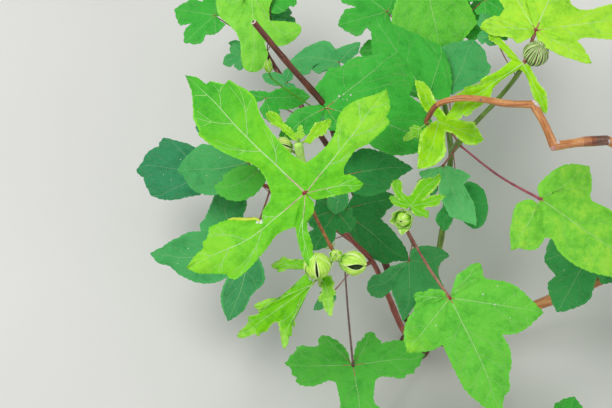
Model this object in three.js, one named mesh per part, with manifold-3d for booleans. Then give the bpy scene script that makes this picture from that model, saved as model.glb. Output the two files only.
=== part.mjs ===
// A wild mallow herb: a low, sprawling plant whose stems rise and lean out from one short
// woody crown, with palmately lobed leaves on long stalks and pale leafy buds at the tips.
// Millimetres, +Z up, ground at z = 0, origin under the middle of the crown's flat cut.
import * as THREE from 'three';
import { mergeVertices } from 'three/addons/utils/BufferGeometryUtils.js';
import Module from 'manifold-3d';

const wasm = await Module();
wasm.setup();

// Clear space between neighbouring solids, and where a branch springs from a limb.
const GAP = 0.3;
// Edges shorter than this are closed up when a mass has been joined.
const SMALLEST_EDGE = 0.2;
// The largest scrap, in cubic millimetres, that a cut may leave apart and that is dropped.
const LARGEST_SCRAP = 25;

// The woody crown: height, then its half-width at the ground, at the waist and at the shoulder.
const CROWN = { height: 50, foot: 15, waist: 11, shoulder: 13 };

// A blade's thickness as a share of its central lobe, and the least it may be.
const BLADE_THICKNESS = 0.012;
const THINNEST_BLADE = 1.0;
// How far a blade arches down at the lobe tips, and its edges below the midribs (shares).
const BLADE_ARCH = 0.07;
const BLADE_FOLD = 0.16;
// How far a bay's floor and a lobe's first midrib point lie below and out from the junction,
// and how much of the gap behind the outermost lobes is left open where the stalk joins.
const BAY_FOLD = 0.02;
const LEAST_BASE = 0.04;
const NOTCH_OPEN = 0.8;
// Leaf stalks: half-width as a share of blade length and the least it may be, how far one sags
// in its middle, and how far past the junction its end is sunk into the blade (share).
const STALK_RADIUS = 0.0165;
const THINNEST_STALK = 0.8;
const STALK_SAG = 0.1;
const STALK_SINK = 0.012;
// The half-width of a bud's neck, and how far below a bud's middle it ends (share).
const NECK_RADIUS = 1.5;
const NECK_END = 0.7;
// Where a lobe is widest and where its shoulder is, as shares of the way from bay to tip, and
// the blade length from which the shoulder is told too.
const LOBE_WIDEST = 0.55;
const LOBE_SHOULDER = 0.84;
const LARGE_BLADE = 90;

const GREEN = { young: 0x86c22c, bright: 0x63b52e, mid: 0x3f9a3a, dark: 0x2a7044 };
const BARK = { red: 0x8a4636, tan: 0xa9683f, dark: 0x54291f, olive: 0x7f8a3a, crown: 0x6b4a36 };

// Leaf forms. A lobe is [angle from the central lobe, length, half-width], lengths as shares of
// the central lobe, listed from the right-hand side to the left as one looks out from the stalk.
// sinus holds the depth of each bay between two lobes, and notch the one where the stalk joins.
const FORMS = {
  star: {
    lobes: [[-122, 0.33, 0.13], [-83, 0.8, 0.2], [0, 1, 0.25], [82, 0.81, 0.2], [139, 0.42, 0.1]],
    sinus: [0.26, 0.19, 0.33, 0.2], notch: 0.07,
  },
  broad: {
    lobes: [[-122, 0.42, 0.2], [-64, 0.62, 0.25], [0, 1, 0.3], [57, 0.8, 0.27], [113, 0.42, 0.2]],
    sinus: [0.34, 0.5, 0.52, 0.34], notch: 0.1,
  },
  low: {
    lobes: [[-132, 0.5, 0.2], [-90, 0.78, 0.24], [0, 1, 0.25], [92, 0.8, 0.24], [143, 0.45, 0.2]],
    sinus: [0.33, 0.36, 0.36, 0.32], notch: 0.08,
  },
  shield: {
    lobes: [[-92, 0.5, 0.22], [-42, 0.68, 0.25], [0, 1, 0.28], [66, 0.56, 0.24], [120, 0.36, 0.18]],
    sinus: [0.36, 0.5, 0.42, 0.3], notch: 0.1,
  },
  spread: {
    lobes: [[-95, 0.5, 0.17], [-59, 0.76, 0.19], [0, 1, 0.22], [52, 0.72, 0.18], [109, 0.37, 0.13]],
    sinus: [0.28, 0.3, 0.28, 0.24], notch: 0.06,
  },
  hand: {
    lobes: [[-96, 0.42, 0.16], [-58, 0.78, 0.2], [0, 1, 0.22], [52, 0.76, 0.2], [108, 0.38, 0.15]],
    sinus: [0.3, 0.32, 0.32, 0.28], notch: 0.08,
  },
  three: {
    lobes: [[-92, 0.9, 0.28], [0, 1, 0.3], [126, 0.95, 0.26]],
    sinus: [0.26, 0.26], notch: 0.12,
  },
  narrow: {
    lobes: [[-69, 0.36, 0.1], [0, 1, 0.13], [73, 0.62, 0.12]],
    sinus: [0.12, 0.12], notch: 0.06,
  },
  fork: {
    lobes: [[-50, 0.3, 0.1], [0, 1, 0.17], [35, 0.78, 0.14]],
    sinus: [0.14, 0.34], notch: 0.06,
  },
  spoon: {
    lobes: [[-45, 0.5, 0.16], [0, 1, 0.2], [45, 0.5, 0.16]],
    sinus: [0.3, 0.3], notch: 0.12,
  },
  dusk: {
    lobes: [[-62, 0.55, 0.26], [0, 1, 0.3], [62, 0.55, 0.26]],
    sinus: [0.4, 0.4], notch: 0.14,
  },
  twofold: {
    lobes: [[-99, 0.4, 0.22], [0, 0.75, 0.28], [79, 1, 0.26], [128, 0.5, 0.2]],
    sinus: [0.28, 0.35, 0.4], notch: 0.08,
  },
};

// Bare limbs. Each springs from the crown or from another limb, along its path. width holds the
// half-widths at the start and at the end.
const LIMBS = {
  stem_left: {
    from: 'root_crown', bark: BARK.red, width: [3.6, 3.0],
    path: [[-4, 0, 32], [-14, 3, 55], [-29, 27, 90], [-44, 49, 125], [-60, 59, 150]],
  },
  bough_front_left: {
    from: 'stem_left', bark: BARK.red, width: [2.1, 1.7],
    path: [[-44, 49, 125], [-54, 38, 150], [-60, 28, 190]],
  },
  bough_side_left: {
    from: 'stem_left', bark: BARK.red, width: [2.4, 2.0],
    path: [[-60, 59, 150], [-86, 78, 152], [-126, 104, 155]],
  },
  stem_middle: {
    from: 'root_crown', bark: BARK.red, width: [3.0, 2.4],
    path: [[-1, 4, 40], [-1, 26, 66], [-2, 50, 104], [-7, 58, 140]],
  },
  stem_back: {
    from: 'root_crown', bark: BARK.olive, width: [3.6, 2.8],
    path: [[3, 4, 30], [14, 48, 62], [22, 100, 105], [25, 141, 150]],
  },
  bough_far_back: {
    from: 'stem_back', bark: BARK.olive, width: [2.8, 2.2],
    path: [[25, 141, 150], [22, 180, 140], [16, 218, 130]],
  },
  stem_right_low: {
    from: 'root_crown', bark: BARK.tan, width: [5.0, 4.4],
    path: [[5, 1, 30], [55, 8, 36], [112, 26, 64], [158, 38, 102]],
  },
  bough_right_rise: {
    from: 'stem_right_low', bark: BARK.tan, width: [4.2, 3.7],
    path: [[158, 38, 102], [186, 70, 165], [178, 108, 226], [140, 115, 262]],
  },
  zigzag_first: {
    from: 'bough_right_rise', bark: BARK.tan, width: [3.7, 3.5],
    path: [[140, 115, 262], [119, 111, 270], [95, 106, 275]],
  },
  zigzag_second: {
    from: 'zigzag_first', bark: BARK.tan, width: [3.5, 3.3],
    path: [[95, 106, 275], [88, 121, 281], [79, 137, 286]],
  },
  zigzag_arc: {
    from: 'zigzag_second', bark: BARK.tan, width: [3.3, 2.4],
    path: [[79, 137, 286], [58, 137, 288], [36, 140, 290], [18, 141, 288], [3, 139, 279], [-4, 132, 266]],
  },
  stem_cut_low: {
    from: 'root_crown', bark: BARK.dark, width: [3.4, 3.1],
    path: [[-3, 4, 24], [-30, 65, 60], [-52, 103, 100], [-65, 122, 135]],
  },
  stem_cut_top: {
    from: 'stem_cut_low', bark: BARK.dark, width: [3.1, 2.6],
    path: [[-65, 122, 135], [-79, 144, 200], [-86, 154, 232], [-115, 177, 268], [-143, 201, 300]],
  },
  bough_far_left: {
    from: 'stem_cut_low', bark: BARK.dark, width: [2.8, 2.2],
    path: [[-65, 122, 135], [-94, 170, 134], [-130, 228, 130]],
  },
  stem_front: {
    from: 'root_crown', bark: BARK.red, width: [3.4, 2.6],
    path: [[-3, -5, 24], [-24, -20, 36], [-46, -42, 45], [-53, -62, 50], [-50, -84, 56]],
  },
  stem_front_right: {
    from: 'root_crown', bark: BARK.red, width: [3.2, 2.5],
    path: [[3, -4, 22], [20, -3, 28], [42, -15, 35], [57, -38, 43], [64, -64, 51], [50, -96, 58]],
  },
};

// Foliage masses. A mass is one stem that takes over at its limb's tip, with its leaves and
// buds. A leaf is [form, blade length, [x, y, z] of its junction, heading, tilt, roll, place
// on the stem from 0 to 1]; headings turn anticlockwise from +X, in degrees, tilt lowers the
// tip and roll lifts the left side. A bud is [[x, y, z] of its middle, half-width, place].
// rule adds leaves that are not told one by one: count, size, outward heading, spread, seed.
const MASSES = {
  foliage_top: {
    from: 'bough_front_left', green: GREEN.young, width: [1.7, 1.5],
    stem: [[-60, 28, 190], [-68, 21, 228], [-76, 20, 252], [-82, 26, 264]],
    leaves: [
      ['star', 134, [-104, 66, 285], 133, 4, -4, 0.97],
      ['low', 78, [-62, -47, 150], 273, 8, 0, 0.62],
      ['spoon', 34, [-97, 8, 262], 180, 6, 0, 0.9],
      ['fork', 70, [-97, -4, 262], 215, 10, 0, 0.85],
      ['spoon', 29, [-90, 2, 262], 284, 12, 0, 0.9],
    ],
    buds: [[[-92, 12, 278], 9.5, 0.94], [[-63, 12, 272], 9.5, 0.94], [[-77, 18, 270], 3.5, 0.99]],
  },
  foliage_young_centre: {
    from: 'stem_left', green: GREEN.young, width: [2.6, 2.2],
    stem: [[-60, 59, 150], [-73, 67, 175], [-92, 87, 215], [-105, 105, 240], [-109, 112, 250]],
    leaves: [
      ['spoon', 37, [-108, 117, 255], 136, -4, 0, 0.97],
      ['spoon', 33, [-104, 116, 255], 36, -6, 0, 0.97],
      ['spoon', 18, [-107, 119, 256], 84, -10, 0, 0.98],
      ['dusk', 66, [-74, 106, 192], 10, 10, 0, 0.35],
      ['dusk', 70, [-68, 88, 132], 325, 6, 0, 0.12],
    ],
    buds: [[[-119, 116, 246], 7.5, 0.9]],
  },
  foliage_left: {
    from: 'bough_side_left', green: GREEN.dark, width: [1.9, 1.5],
    stem: [[-126, 104, 155], [-146, 112, 158], [-166, 120, 152]],
    leaves: [
      ['dusk', 82, [-151, 64, 122], 186, 8, 0, 0.2],
      ['dusk', 68, [-150, 60, 112], 254, 8, 0, 0.12],
      ['dusk', 66, [-150, 126, 168], 180, 10, 0, 0.4],
      ['shield', 64, [-192, 130, 118], 172, 8, 0, 0.98],
      ['spoon', 42, [-139, 104, 196], 200, 6, 0, 0.3],
      ['broad', 58, [-172, 170, 138], 128, 12, 0, 0.95],
    ],
    buds: [],
  },
  foliage_middle: {
    from: 'stem_middle', green: GREEN.bright, width: [2.2, 1.7],
    stem: [[-7, 58, 140], [-15, 57, 184], [-21, 53, 226]],
    leaves: [
      ['broad', 100, [15, -4, 215], 295, 11, 0, 0.9],
      ['hand', 39, [-17, 66, 240], 42, 4, 0, 0.98],
      ['three', 32, [-26, 66, 238], 128, 4, 0, 0.96],
      ['shield', 52, [-12, 45, 158], 262, 10, 0, 0.24],
    ],
    buds: [[[-23, 55, 238], 7.5, 0.98]],
  },
  foliage_high_right: {
    from: 'stem_back', green: GREEN.bright, width: [2.7, 1.7],
    stem: [[25, 141, 150], [40, 147, 210], [54, 153, 250], [66, 162, 278], [72, 170, 288]],
    leaves: [
      ['spread', 124, [81, 195, 298], 66, 6, 0, 0.99],
      ['narrow', 82, [72, 171, 288], 220, 12, -8, 0.96],
      ['shield', 104, [91, 78, 220], 326, 8, 0, 0.12],
      ['hand', 71, [15, 122, 172], 295, 8, 0, 0.14],
      ['shield', 50, [30, 107, 150], 289, 8, 0, 0.03],
      ['shield', 112, [4, 160, 184], 104, 4, 0, 0.14],
    ],
    buds: [[[81, 181, 290], 9, 0.96]],
  },
  foliage_young_right: {
    from: 'zigzag_arc', green: GREEN.young, width: [1.9, 1.4],
    stem: [[-4, 132, 266], [-5, 132, 258], [-3, 133, 251]],
    leaves: [
      ['three', 41, [6, 134, 252], 338, 6, 0, 0.9],
      ['spoon', 16, [-10, 128, 252], 215, 10, 0, 0.9],
    ],
    buds: [],
  },
  foliage_behind: {
    from: 'stem_cut_low', green: GREEN.mid, width: [2.2, 1.6],
    stem: [[-65, 122, 135], [-62, 140, 168], [-66, 156, 200], [-74, 164, 222]],
    leaves: [
      ['twofold', 86, [-82, 153, 238], 322, 3, 0, 0.95],
      ['dusk', 76, [-54, 168, 204], 320, 6, 0, 0.5],
      ['shield', 46, [-126, 174, 196], 340, 6, 0, 0.5],
    ],
    buds: [[[-133, 188, 236], 3.5, 0.55]],
  },
  foliage_far_left: {
    from: 'bough_far_left', green: GREEN.bright, width: [2.1, 1.5],
    stem: [[-130, 228, 130], [-140, 244, 136], [-150, 262, 146]],
    leaves: [['broad', 67, [-150, 284, 160], 272, 6, 0, 0.95]],
    buds: [],
    rule: { count: 3, size: 50, outward: 108, spread: 56, seed: 5 },
  },
  foliage_far_back: {
    from: 'bough_far_back', green: GREEN.mid, width: [2.1, 1.5],
    stem: [[16, 218, 130], [14, 234, 134], [12, 252, 142]],
    leaves: [],
    buds: [],
    rule: { count: 4, size: 56, outward: 82, spread: 70, seed: 11 },
  },
  foliage_right: {
    from: 'stem_right_low', green: GREEN.dark, width: [2.6, 1.8],
    stem: [[158, 38, 102], [176, 42, 108], [196, 48, 120]],
    leaves: [['shield', 68, [150, 64, 128], 240, 8, 0, 0.3]],
    buds: [],
    rule: { count: 4, size: 58, outward: 5, spread: 66, seed: 23 },
  },
  foliage_front: {
    from: 'stem_front', green: GREEN.mid, width: [2.5, 1.6],
    stem: [[-50, -84, 56], [-52, -106, 66], [-44, -130, 80]],
    leaves: [],
    buds: [],
    rule: { count: 5, size: 60, outward: 262, spread: 66, seed: 37 },
  },
  foliage_front_right: {
    from: 'stem_front_right', green: GREEN.bright, width: [2.4, 1.6],
    stem: [[50, -96, 58], [62, -112, 70], [76, -128, 86]],
    leaves: [],
    buds: [],
    rule: { count: 4, size: 58, outward: 318, spread: 62, seed: 51 },
  },
};

// The golden share of a turn, by which leaves follow each other round a stem.
const GOLDEN_SHARE = 0.618;

// Faces round the crown, a limb, and a leaf stalk or a bud's neck.
const CROWN_SIDES = 12;
const LIMB_SIDES = 6;
const STALK_SIDES = 3;

const radians = (degrees) => THREE.MathUtils.degToRad(degrees);
const vector = (point) => new THREE.Vector3(...point);
const curveThrough = (points) => new THREE.CatmullRomCurve3(
  points.map((point) => (Array.isArray(point) ? vector(point) : point)), false, 'centripetal',
);

// The next of a chain of numbers from 0 to 1 that is the same on every run.
function chain(seed) {
  let state = seed;
  return () => {
    state = (state * 16807) % 2147483647;
    return state / 2147483647;
  };
}

function solidOf(geometry) {
  geometry.deleteAttribute('normal');
  geometry.deleteAttribute('uv');
  const merged = mergeVertices(geometry, 1e-4);
  return new wasm.Manifold(new wasm.Mesh({
    numProp: 3,
    vertProperties: new Float32Array(merged.attributes.position.array),
    triVerts: new Uint32Array(merged.index.array),
  }));
}

function meshOf(name, solid, colour, roughness) {
  const body = solid.getMesh();
  const geometry = new THREE.BufferGeometry();
  geometry.setAttribute('position', new THREE.BufferAttribute(body.vertProperties, 3));
  geometry.setIndex(new THREE.BufferAttribute(body.triVerts, 1));
  geometry.computeVertexNormals();
  const mesh = new THREE.Mesh(geometry, new THREE.MeshStandardMaterial({
    color: colour, roughness, metalness: 0,
  }));
  mesh.name = name;
  return mesh;
}

// A tapering round limb: a cylinder bent along a curve, its rings shrinking from the first
// half-width to the last. grow widens it and lengthens it at both ends.
function limb(curve, [start, end], sides, steps, grow = 0) {
  const frames = curve.computeFrenetFrames(steps);
  const tube = new THREE.CylinderGeometry(1, 1, 1, sides, steps);
  const place = tube.attributes.position;
  for (let i = 0; i < place.count; i += 1) {
    const ring = Math.round((place.getY(i) + 0.5) * steps);
    const radius = start + (end - start) * (ring / steps) + grow;
    const reach = ring === 0 ? -grow : ring === steps ? grow : 0;
    const point = curve.getPointAt(ring / steps)
      .addScaledVector(frames.tangents[ring], reach)
      .addScaledVector(frames.binormals[ring], place.getX(i) * radius)
      .addScaledVector(frames.normals[ring], place.getZ(i) * radius);
    place.setXYZ(i, point.x, point.y, point.z);
  }
  return solidOf(tube);
}

// The crown: a turned body with a flat cut at the ground, a flared foot and a domed top.
function crown(grow = 0) {
  const { height, foot, waist, shoulder } = CROWN;
  const profile = [
    [0, 0], [foot, 0], [foot * 0.86, height * 0.12], [waist, height * 0.36],
    [shoulder, height * 0.7], [shoulder * 0.72, height * 0.92], [0, height],
  ].map(([radius, z]) => new THREE.Vector2(
    radius > 0 ? radius + grow : 0,
    z === 0 ? -grow : z === height ? z + grow : z,
  ));
  return solidOf(new THREE.LatheGeometry(profile, CROWN_SIDES).rotateX(Math.PI / 2));
}

// A bud: an egg shape turned about its own axis, narrow at its foot and pointed at its tip.
function bud(middle, radius, axis) {
  const profile = [[0, -1.15], [0.62, -0.85], [1, -0.1], [0.82, 0.6], [0.3, 1.1], [0, 1.35]]
    .map(([across, along]) => new THREE.Vector2(across * radius, along * radius));
  const shape = new THREE.LatheGeometry(profile, 7);
  shape.applyQuaternion(new THREE.Quaternion().setFromUnitVectors(new THREE.Vector3(0, 1, 0), axis));
  return solidOf(shape.translate(middle.x, middle.y, middle.z));
}

// The frame of a blade: out along its central lobe, across to its left, and up out of it.
function bladeFrame(heading, tilt, roll) {
  const [turn, fall, lean] = [heading, tilt, roll].map(radians);
  const out = new THREE.Vector3(
    Math.cos(turn) * Math.cos(fall), Math.sin(turn) * Math.cos(fall), -Math.sin(fall),
  );
  const left = new THREE.Vector3(-Math.sin(turn), Math.cos(turn), 0).applyAxisAngle(out, lean);
  return { out, left, up: new THREE.Vector3().crossVectors(out, left) };
}

// A lobe's half-width at a share q of the way from its bay to its tip: it swells smoothly
// from the bay's half-width to its widest, then rounds off to the tip.
function lobeWidth(q, bay, widest) {
  if (q <= LOBE_WIDEST) {
    const ease = 0.5 - 0.5 * Math.cos(Math.PI * (q / LOBE_WIDEST));
    return bay + (widest - bay) * ease;
  }
  return widest * (1 - ((q - LOBE_WIDEST) / (1 - LOBE_WIDEST)) ** 1.7) ** 0.8;
}

// The flat plan of a blade: rows across each lobe from the shared bays to the tip, as points
// [x, y, depth of the fold below the midrib] and triangles facing up.
function bladePlan({ lobes, sinus, notch }, size) {
  const points = [[0, 0, 0]];
  const faces = [];
  const rows = size > LARGE_BLADE ? [LOBE_WIDEST, LOBE_SHOULDER] : [LOBE_WIDEST];
  const add = (x, y, fold) => points.push([x, y, fold]) - 1;
  const halfNotch = (360 - lobes.at(-1)[0] + lobes[0][0]) / 2;
  const bays = [[lobes[0][0] - halfNotch * NOTCH_OPEN, notch]];
  sinus.forEach((depth, i) => bays.push([(lobes[i][0] + lobes[i + 1][0]) / 2, depth]));
  bays.push([lobes.at(-1)[0] + halfNotch * NOTCH_OPEN, notch]);
  const bayPoints = bays.map(([angle, depth]) => add(
    Math.cos(radians(angle)) * depth * size,
    Math.sin(radians(angle)) * depth * size,
    BAY_FOLD * size,
  ));
  lobes.forEach(([angle, share, half], i) => {
    const along = new THREE.Vector2(Math.cos(radians(angle)), Math.sin(radians(angle)));
    const across = new THREE.Vector2(-along.y, along.x);
    const [right, left] = [bayPoints[i], bayPoints[i + 1]]
      .map((k) => new THREE.Vector2(points[k][0], points[k][1]))
      .map((p) => ({ start: p.dot(along), bay: Math.abs(p.dot(across)) }));
    const length = share * size;
    const at = (s, w) => [along.x * s + across.x * w, along.y * s + across.y * w];
    const edge = (side, q, sign) => {
      const width = lobeWidth(q, side.bay, half * size);
      return add(...at(side.start + (length - side.start) * q, sign * width), width * BLADE_FOLD);
    };
    const base = Math.max(LEAST_BASE * size, (right.start + left.start) / 2);
    const mid = add(...at(base, 0), 0);
    let row = [bayPoints[i], mid, bayPoints[i + 1]];
    faces.push([0, row[0], mid], [0, mid, row[2]]);
    rows.forEach((q) => {
      const next = [edge(right, q, -1), add(...at(base + (length - base) * q, 0), 0), edge(left, q, 1)];
      faces.push([row[0], next[0], next[1]], [row[0], next[1], row[1]]);
      faces.push([row[1], next[1], next[2]], [row[1], next[2], row[2]]);
      row = next;
    });
    const tip = add(...at(length, 0), 0);
    faces.push([row[0], tip, row[1]], [row[1], tip, row[2]]);
  });
  return { points, faces };
}

// A blade: its plan lifted into an arched, folded sheet of even thickness, closed at its edge.
function blade([form, size, junction, heading, tilt, roll]) {
  const { points, faces } = bladePlan(FORMS[form], size);
  const { out, left, up } = bladeFrame(heading, tilt, roll);
  const half = Math.max(THINNEST_BLADE, size * BLADE_THICKNESS) / 2;
  const sheet = (side) => points.map(([x, y, fold]) => {
    const height = side * half - fold - (BLADE_ARCH * (x * x + y * y)) / size;
    return vector(junction).addScaledVector(out, x).addScaledVector(left, y).addScaledVector(up, height);
  });
  const vertices = [...sheet(1), ...sheet(-1)];
  const lower = points.length;
  const triangles = faces.flatMap(([a, b, c]) => [[a, b, c], [a + lower, c + lower, b + lower]]);
  const edges = new Set(faces.flatMap(([a, b, c]) => [`${a} ${b}`, `${b} ${c}`, `${c} ${a}`]));
  edges.forEach((edge) => {
    const [a, b] = edge.split(' ').map(Number);
    if (!edges.has(`${b} ${a}`)) {
      triangles.push([a, a + lower, b + lower], [a, b + lower, b]);
    }
  });
  const geometry = new THREE.BufferGeometry();
  geometry.setAttribute('position', new THREE.Float32BufferAttribute(
    vertices.flatMap((v) => v.toArray()), 3,
  ));
  geometry.setIndex(triangles.flat());
  return solidOf(geometry);
}

// A leaf stalk from its place on the stem to the blade's junction, sagging a little in its
// middle, its end sunk into the thick of the blade.
function stalk(stem, [, size, junction, heading, tilt, roll, on]) {
  const { out } = bladeFrame(heading, tilt, roll);
  const foot = stem.getPointAt(on);
  const end = vector(junction).addScaledVector(out, STALK_SINK * size);
  const middle = foot.clone().lerp(end, 0.5);
  middle.z -= STALK_SAG * foot.distanceTo(end);
  const radius = Math.max(THINNEST_STALK, size * STALK_RADIUS);
  return limb(curveThrough([foot, middle, end]), [radius, radius], STALK_SIDES, 2);
}

// Leaves by rule along a stem's upper part, at even steps of the golden share within a spread
// about the way outward; each one's length, reach, rise, heading, tilt and roll vary a little.
function leavesByRule(stem, { count, size, outward, spread, seed }) {
  const next = chain(seed);
  return Array.from({ length: count }, (_, i) => {
    const on = 0.3 + (0.66 * i) / (count - 1);
    const turn = outward + spread * (2 * ((i * GOLDEN_SHARE + 0.3) % 1) - 1);
    const length = size * (0.82 + 0.36 * next());
    const reach = length * (0.85 + 0.3 * next());
    const rise = length * (0.1 + 0.4 * next());
    const foot = stem.getPointAt(on);
    const place = [
      foot.x + reach * Math.cos(radians(turn)),
      foot.y + reach * Math.sin(radians(turn)),
      foot.z + rise,
    ];
    return ['broad', length, place, turn + 24 * (next() - 0.5), 10 + 14 * next(), 16 * (next() - 0.5), on];
  });
}

// The main piece of a solid. Only scraps may lie apart from it: a leaf or a limb that has
// come loose means that its place is wrong.
function mainPiece(name, solid) {
  const [main, ...scraps] = solid.decompose().sort((a, b) => b.volume() - a.volume());
  if (scraps.some((scrap) => scrap.volume() > LARGEST_SCRAP)) {
    throw new Error(`${name} has a loose piece`);
  }
  return main;
}

const group = new THREE.Group();

const crownSolid = crown();
group.add(meshOf('root_crown', crownSolid, BARK.crown, 0.95));

// What each limb and mass keeps clear of: the crown or limb it springs from, and the earlier
// ones that spring from the same place.
const keepClear = { root_crown: [crown(GAP)] };

Object.entries(LIMBS).forEach(([name, { from, bark, width, path }]) => {
  const curve = curveThrough(path);
  const steps = path.length + 1;
  const solid = keepClear[from].reduce(
    (rest, other) => rest.subtract(other), limb(curve, width, LIMB_SIDES, steps),
  );
  const grown = limb(curve, width, LIMB_SIDES, steps, GAP);
  keepClear[from].push(grown);
  keepClear[name] = [grown];
  group.add(meshOf(name, mainPiece(name, solid), bark, 0.8));
});

Object.entries(MASSES).forEach(([name, { from, green, width, stem, leaves, buds, rule }]) => {
  const curve = curveThrough(stem);
  const all = rule ? [...leaves, ...leavesByRule(curve, rule)] : leaves;
  const pieces = [limb(curve, width, LIMB_SIDES, stem.length)];
  all.forEach((leaf) => pieces.push(blade(leaf), stalk(curve, leaf)));
  buds.forEach(([middle, radius, on]) => {
    const foot = curve.getPointAt(on);
    const axis = vector(middle).sub(foot).normalize();
    const neck = vector(middle).addScaledVector(axis, -radius * NECK_END);
    const halfway = foot.clone().lerp(neck, 0.5);
    pieces.push(bud(vector(middle), radius, axis));
    pieces.push(limb(curveThrough([foot, halfway, neck]), [NECK_RADIUS, NECK_RADIUS], STALK_SIDES, 2));
  });
  const joined = wasm.Manifold.union(pieces).simplify(SMALLEST_EDGE);
  const solid = keepClear[from].reduce((rest, other) => rest.subtract(other), joined);
  keepClear[from].push(limb(curve, width, LIMB_SIDES, stem.length, GAP));
  group.add(meshOf(name, mainPiece(name, solid), green, 0.6));
});

export default group;
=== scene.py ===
"""A sunset muskmallow plant, dressed for looks round its solid model.

The plant is a low, sprawling herb: stems lean out from one short woody crown, with palmately lobed,
toothed leaves on long stalks and pale leafy buds. Each piece is a surface worked out with arrays:
a limb is a ring carried along a path, a blade is a grid from its ribs to its edges, and a bud is a
set of curved sepals. Sizes in the tables are millimetres, as shares where they say so, with +Z up,
+Y away from the viewer and the ground at z = 0.
"""

import math

from collections import namedtuple

import bpy
import numpy as np

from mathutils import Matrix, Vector


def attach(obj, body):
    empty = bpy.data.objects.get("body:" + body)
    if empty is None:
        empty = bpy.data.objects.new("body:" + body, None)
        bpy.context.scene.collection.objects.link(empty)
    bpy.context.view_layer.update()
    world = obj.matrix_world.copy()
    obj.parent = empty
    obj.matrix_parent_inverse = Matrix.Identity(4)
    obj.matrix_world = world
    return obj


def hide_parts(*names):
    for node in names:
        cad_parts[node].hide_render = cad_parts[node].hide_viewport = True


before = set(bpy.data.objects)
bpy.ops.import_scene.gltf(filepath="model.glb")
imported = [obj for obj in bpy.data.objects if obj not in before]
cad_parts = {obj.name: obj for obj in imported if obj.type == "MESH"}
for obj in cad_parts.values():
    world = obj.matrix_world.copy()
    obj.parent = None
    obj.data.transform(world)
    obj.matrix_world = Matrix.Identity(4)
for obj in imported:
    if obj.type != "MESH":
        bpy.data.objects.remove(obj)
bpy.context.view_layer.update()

bl_info = {
    "name": "Sunset muskmallow",
    "version": (1, 0, 0),
    "blender": (4, 5, 0),
    "location": "3D View > Sidebar > Muskmallow",
    "description": "Builds the bark, stalks, lobed leaves and buds of a low, sprawling herb",
    "category": "Add Mesh",
}

MM = 0.001

# Bare limbs: the bark of each, its half-widths at start and end, and its path.
LIMBS = {
    "stem_left": (
        "red", (2.9, 2.1), [(-4, 0, 32), (-14, 3, 55), (-29, 27, 90), (-44, 49, 125), (-60, 59, 150)]),
    "bough_front_left": ("red", (1.8, 1.5), [(-44, 49, 125), (-54, 38, 150), (-60, 28, 190)]),
    "bough_side_left": ("red", (1.8, 1.5), [(-60, 59, 150), (-86, 78, 152), (-126, 104, 155)]),
    "stem_middle": ("red", (2.6, 1.9), [(-1, 4, 40), (-1, 26, 66), (-2, 50, 104), (-7, 58, 140)]),
    "stem_back": ("olive", (3.0, 2.3), [(3, 4, 30), (14, 48, 62), (22, 100, 105), (25, 141, 150)]),
    "bough_far_back": ("olive", (2.8, 2.2), [(25, 141, 150), (22, 180, 140), (16, 218, 130)]),
    "stem_right_low": ("tan", (5.0, 4.4), [(5, 1, 30), (55, 8, 36), (112, 26, 64), (158, 38, 102)]),
    "bough_right_rise": (
        "tan", (4.2, 3.7), [(158, 38, 102), (186, 70, 165), (178, 108, 226), (140, 115, 262)]),
    "zigzag_first": ("tan", (3.6, 3.4), [(140, 115, 262), (119, 111, 270), (95, 106, 275)]),
    "zigzag_second": ("tan", (3.3, 3.1), [(95, 106, 275), (88, 121, 281), (79, 137, 286)]),
    "zigzag_arc": (
        "tan", (2.9, 2.2), [
            (79, 137, 286), (58, 137, 288), (36, 140, 290), (18, 141, 288), (3, 139, 279),
            (-4, 132, 266)]),
    "stem_cut_low": ("dark", (3.2, 2.8), [(-3, 4, 24), (-30, 65, 60), (-52, 103, 100), (-65, 122, 135)]),
    "stem_cut_top": (
        "dark", (2.8, 2.35), [
            (-65, 122, 135), (-79, 144, 200), (-86, 154, 232), (-115, 177, 268), (-143, 201, 300)]),
    "bough_far_left": ("dark", (2.8, 2.2), [(-65, 122, 135), (-94, 170, 134), (-130, 228, 130)]),
    "stem_front": (
        "red", (3.2, 2.4), [(-3, -5, 24), (-24, -20, 36), (-46, -42, 45), (-53, -62, 50), (-50, -84, 56)]),
    "stem_front_right": (
        "red", (3.0, 2.3), [
            (3, -4, 22), (20, -3, 28), (42, -15, 35), (57, -38, 43), (64, -64, 51), (50, -96, 58)]),
}

# Limbs whose bark changes on the way: at which shares, and from which to which.
BARK_RUNS = {
    "zigzag_arc": ((0.82,), ("bark_tan", "bark_umber")),
    "zigzag_first": ((0.26, 0.36, 0.48), ("bark_ash", "bark_umber", "bark_rust", "bark_tan")),
}

# Where the nodes of some limbs stand, in millimetres from the start. The others have them at an even
# spacing, the first of them shifted for two limbs in three, and none within the last stretch.
NODES = {
    "zigzag_first": [2, 13, 19, 45],
    "zigzag_second": [1, 34],
    "zigzag_arc": [2, 26, 58],
}
FIRST_NODE, NODE_SHIFT, NODE_SPACING, NODELESS_END = 16, 7, 37, 8

# The cut stem's end: a pale ring and a dark pith, whose dark is painted shade of the hollow pith, as
# (how far in it starts, how far out it ends, share of the half-width, finish, sides).
CUT_END = ((1.5, 0.9, 0.92, "cut_ring", 18), (0.5, 1.1, 0.5, "cut_pith", 14))

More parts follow.
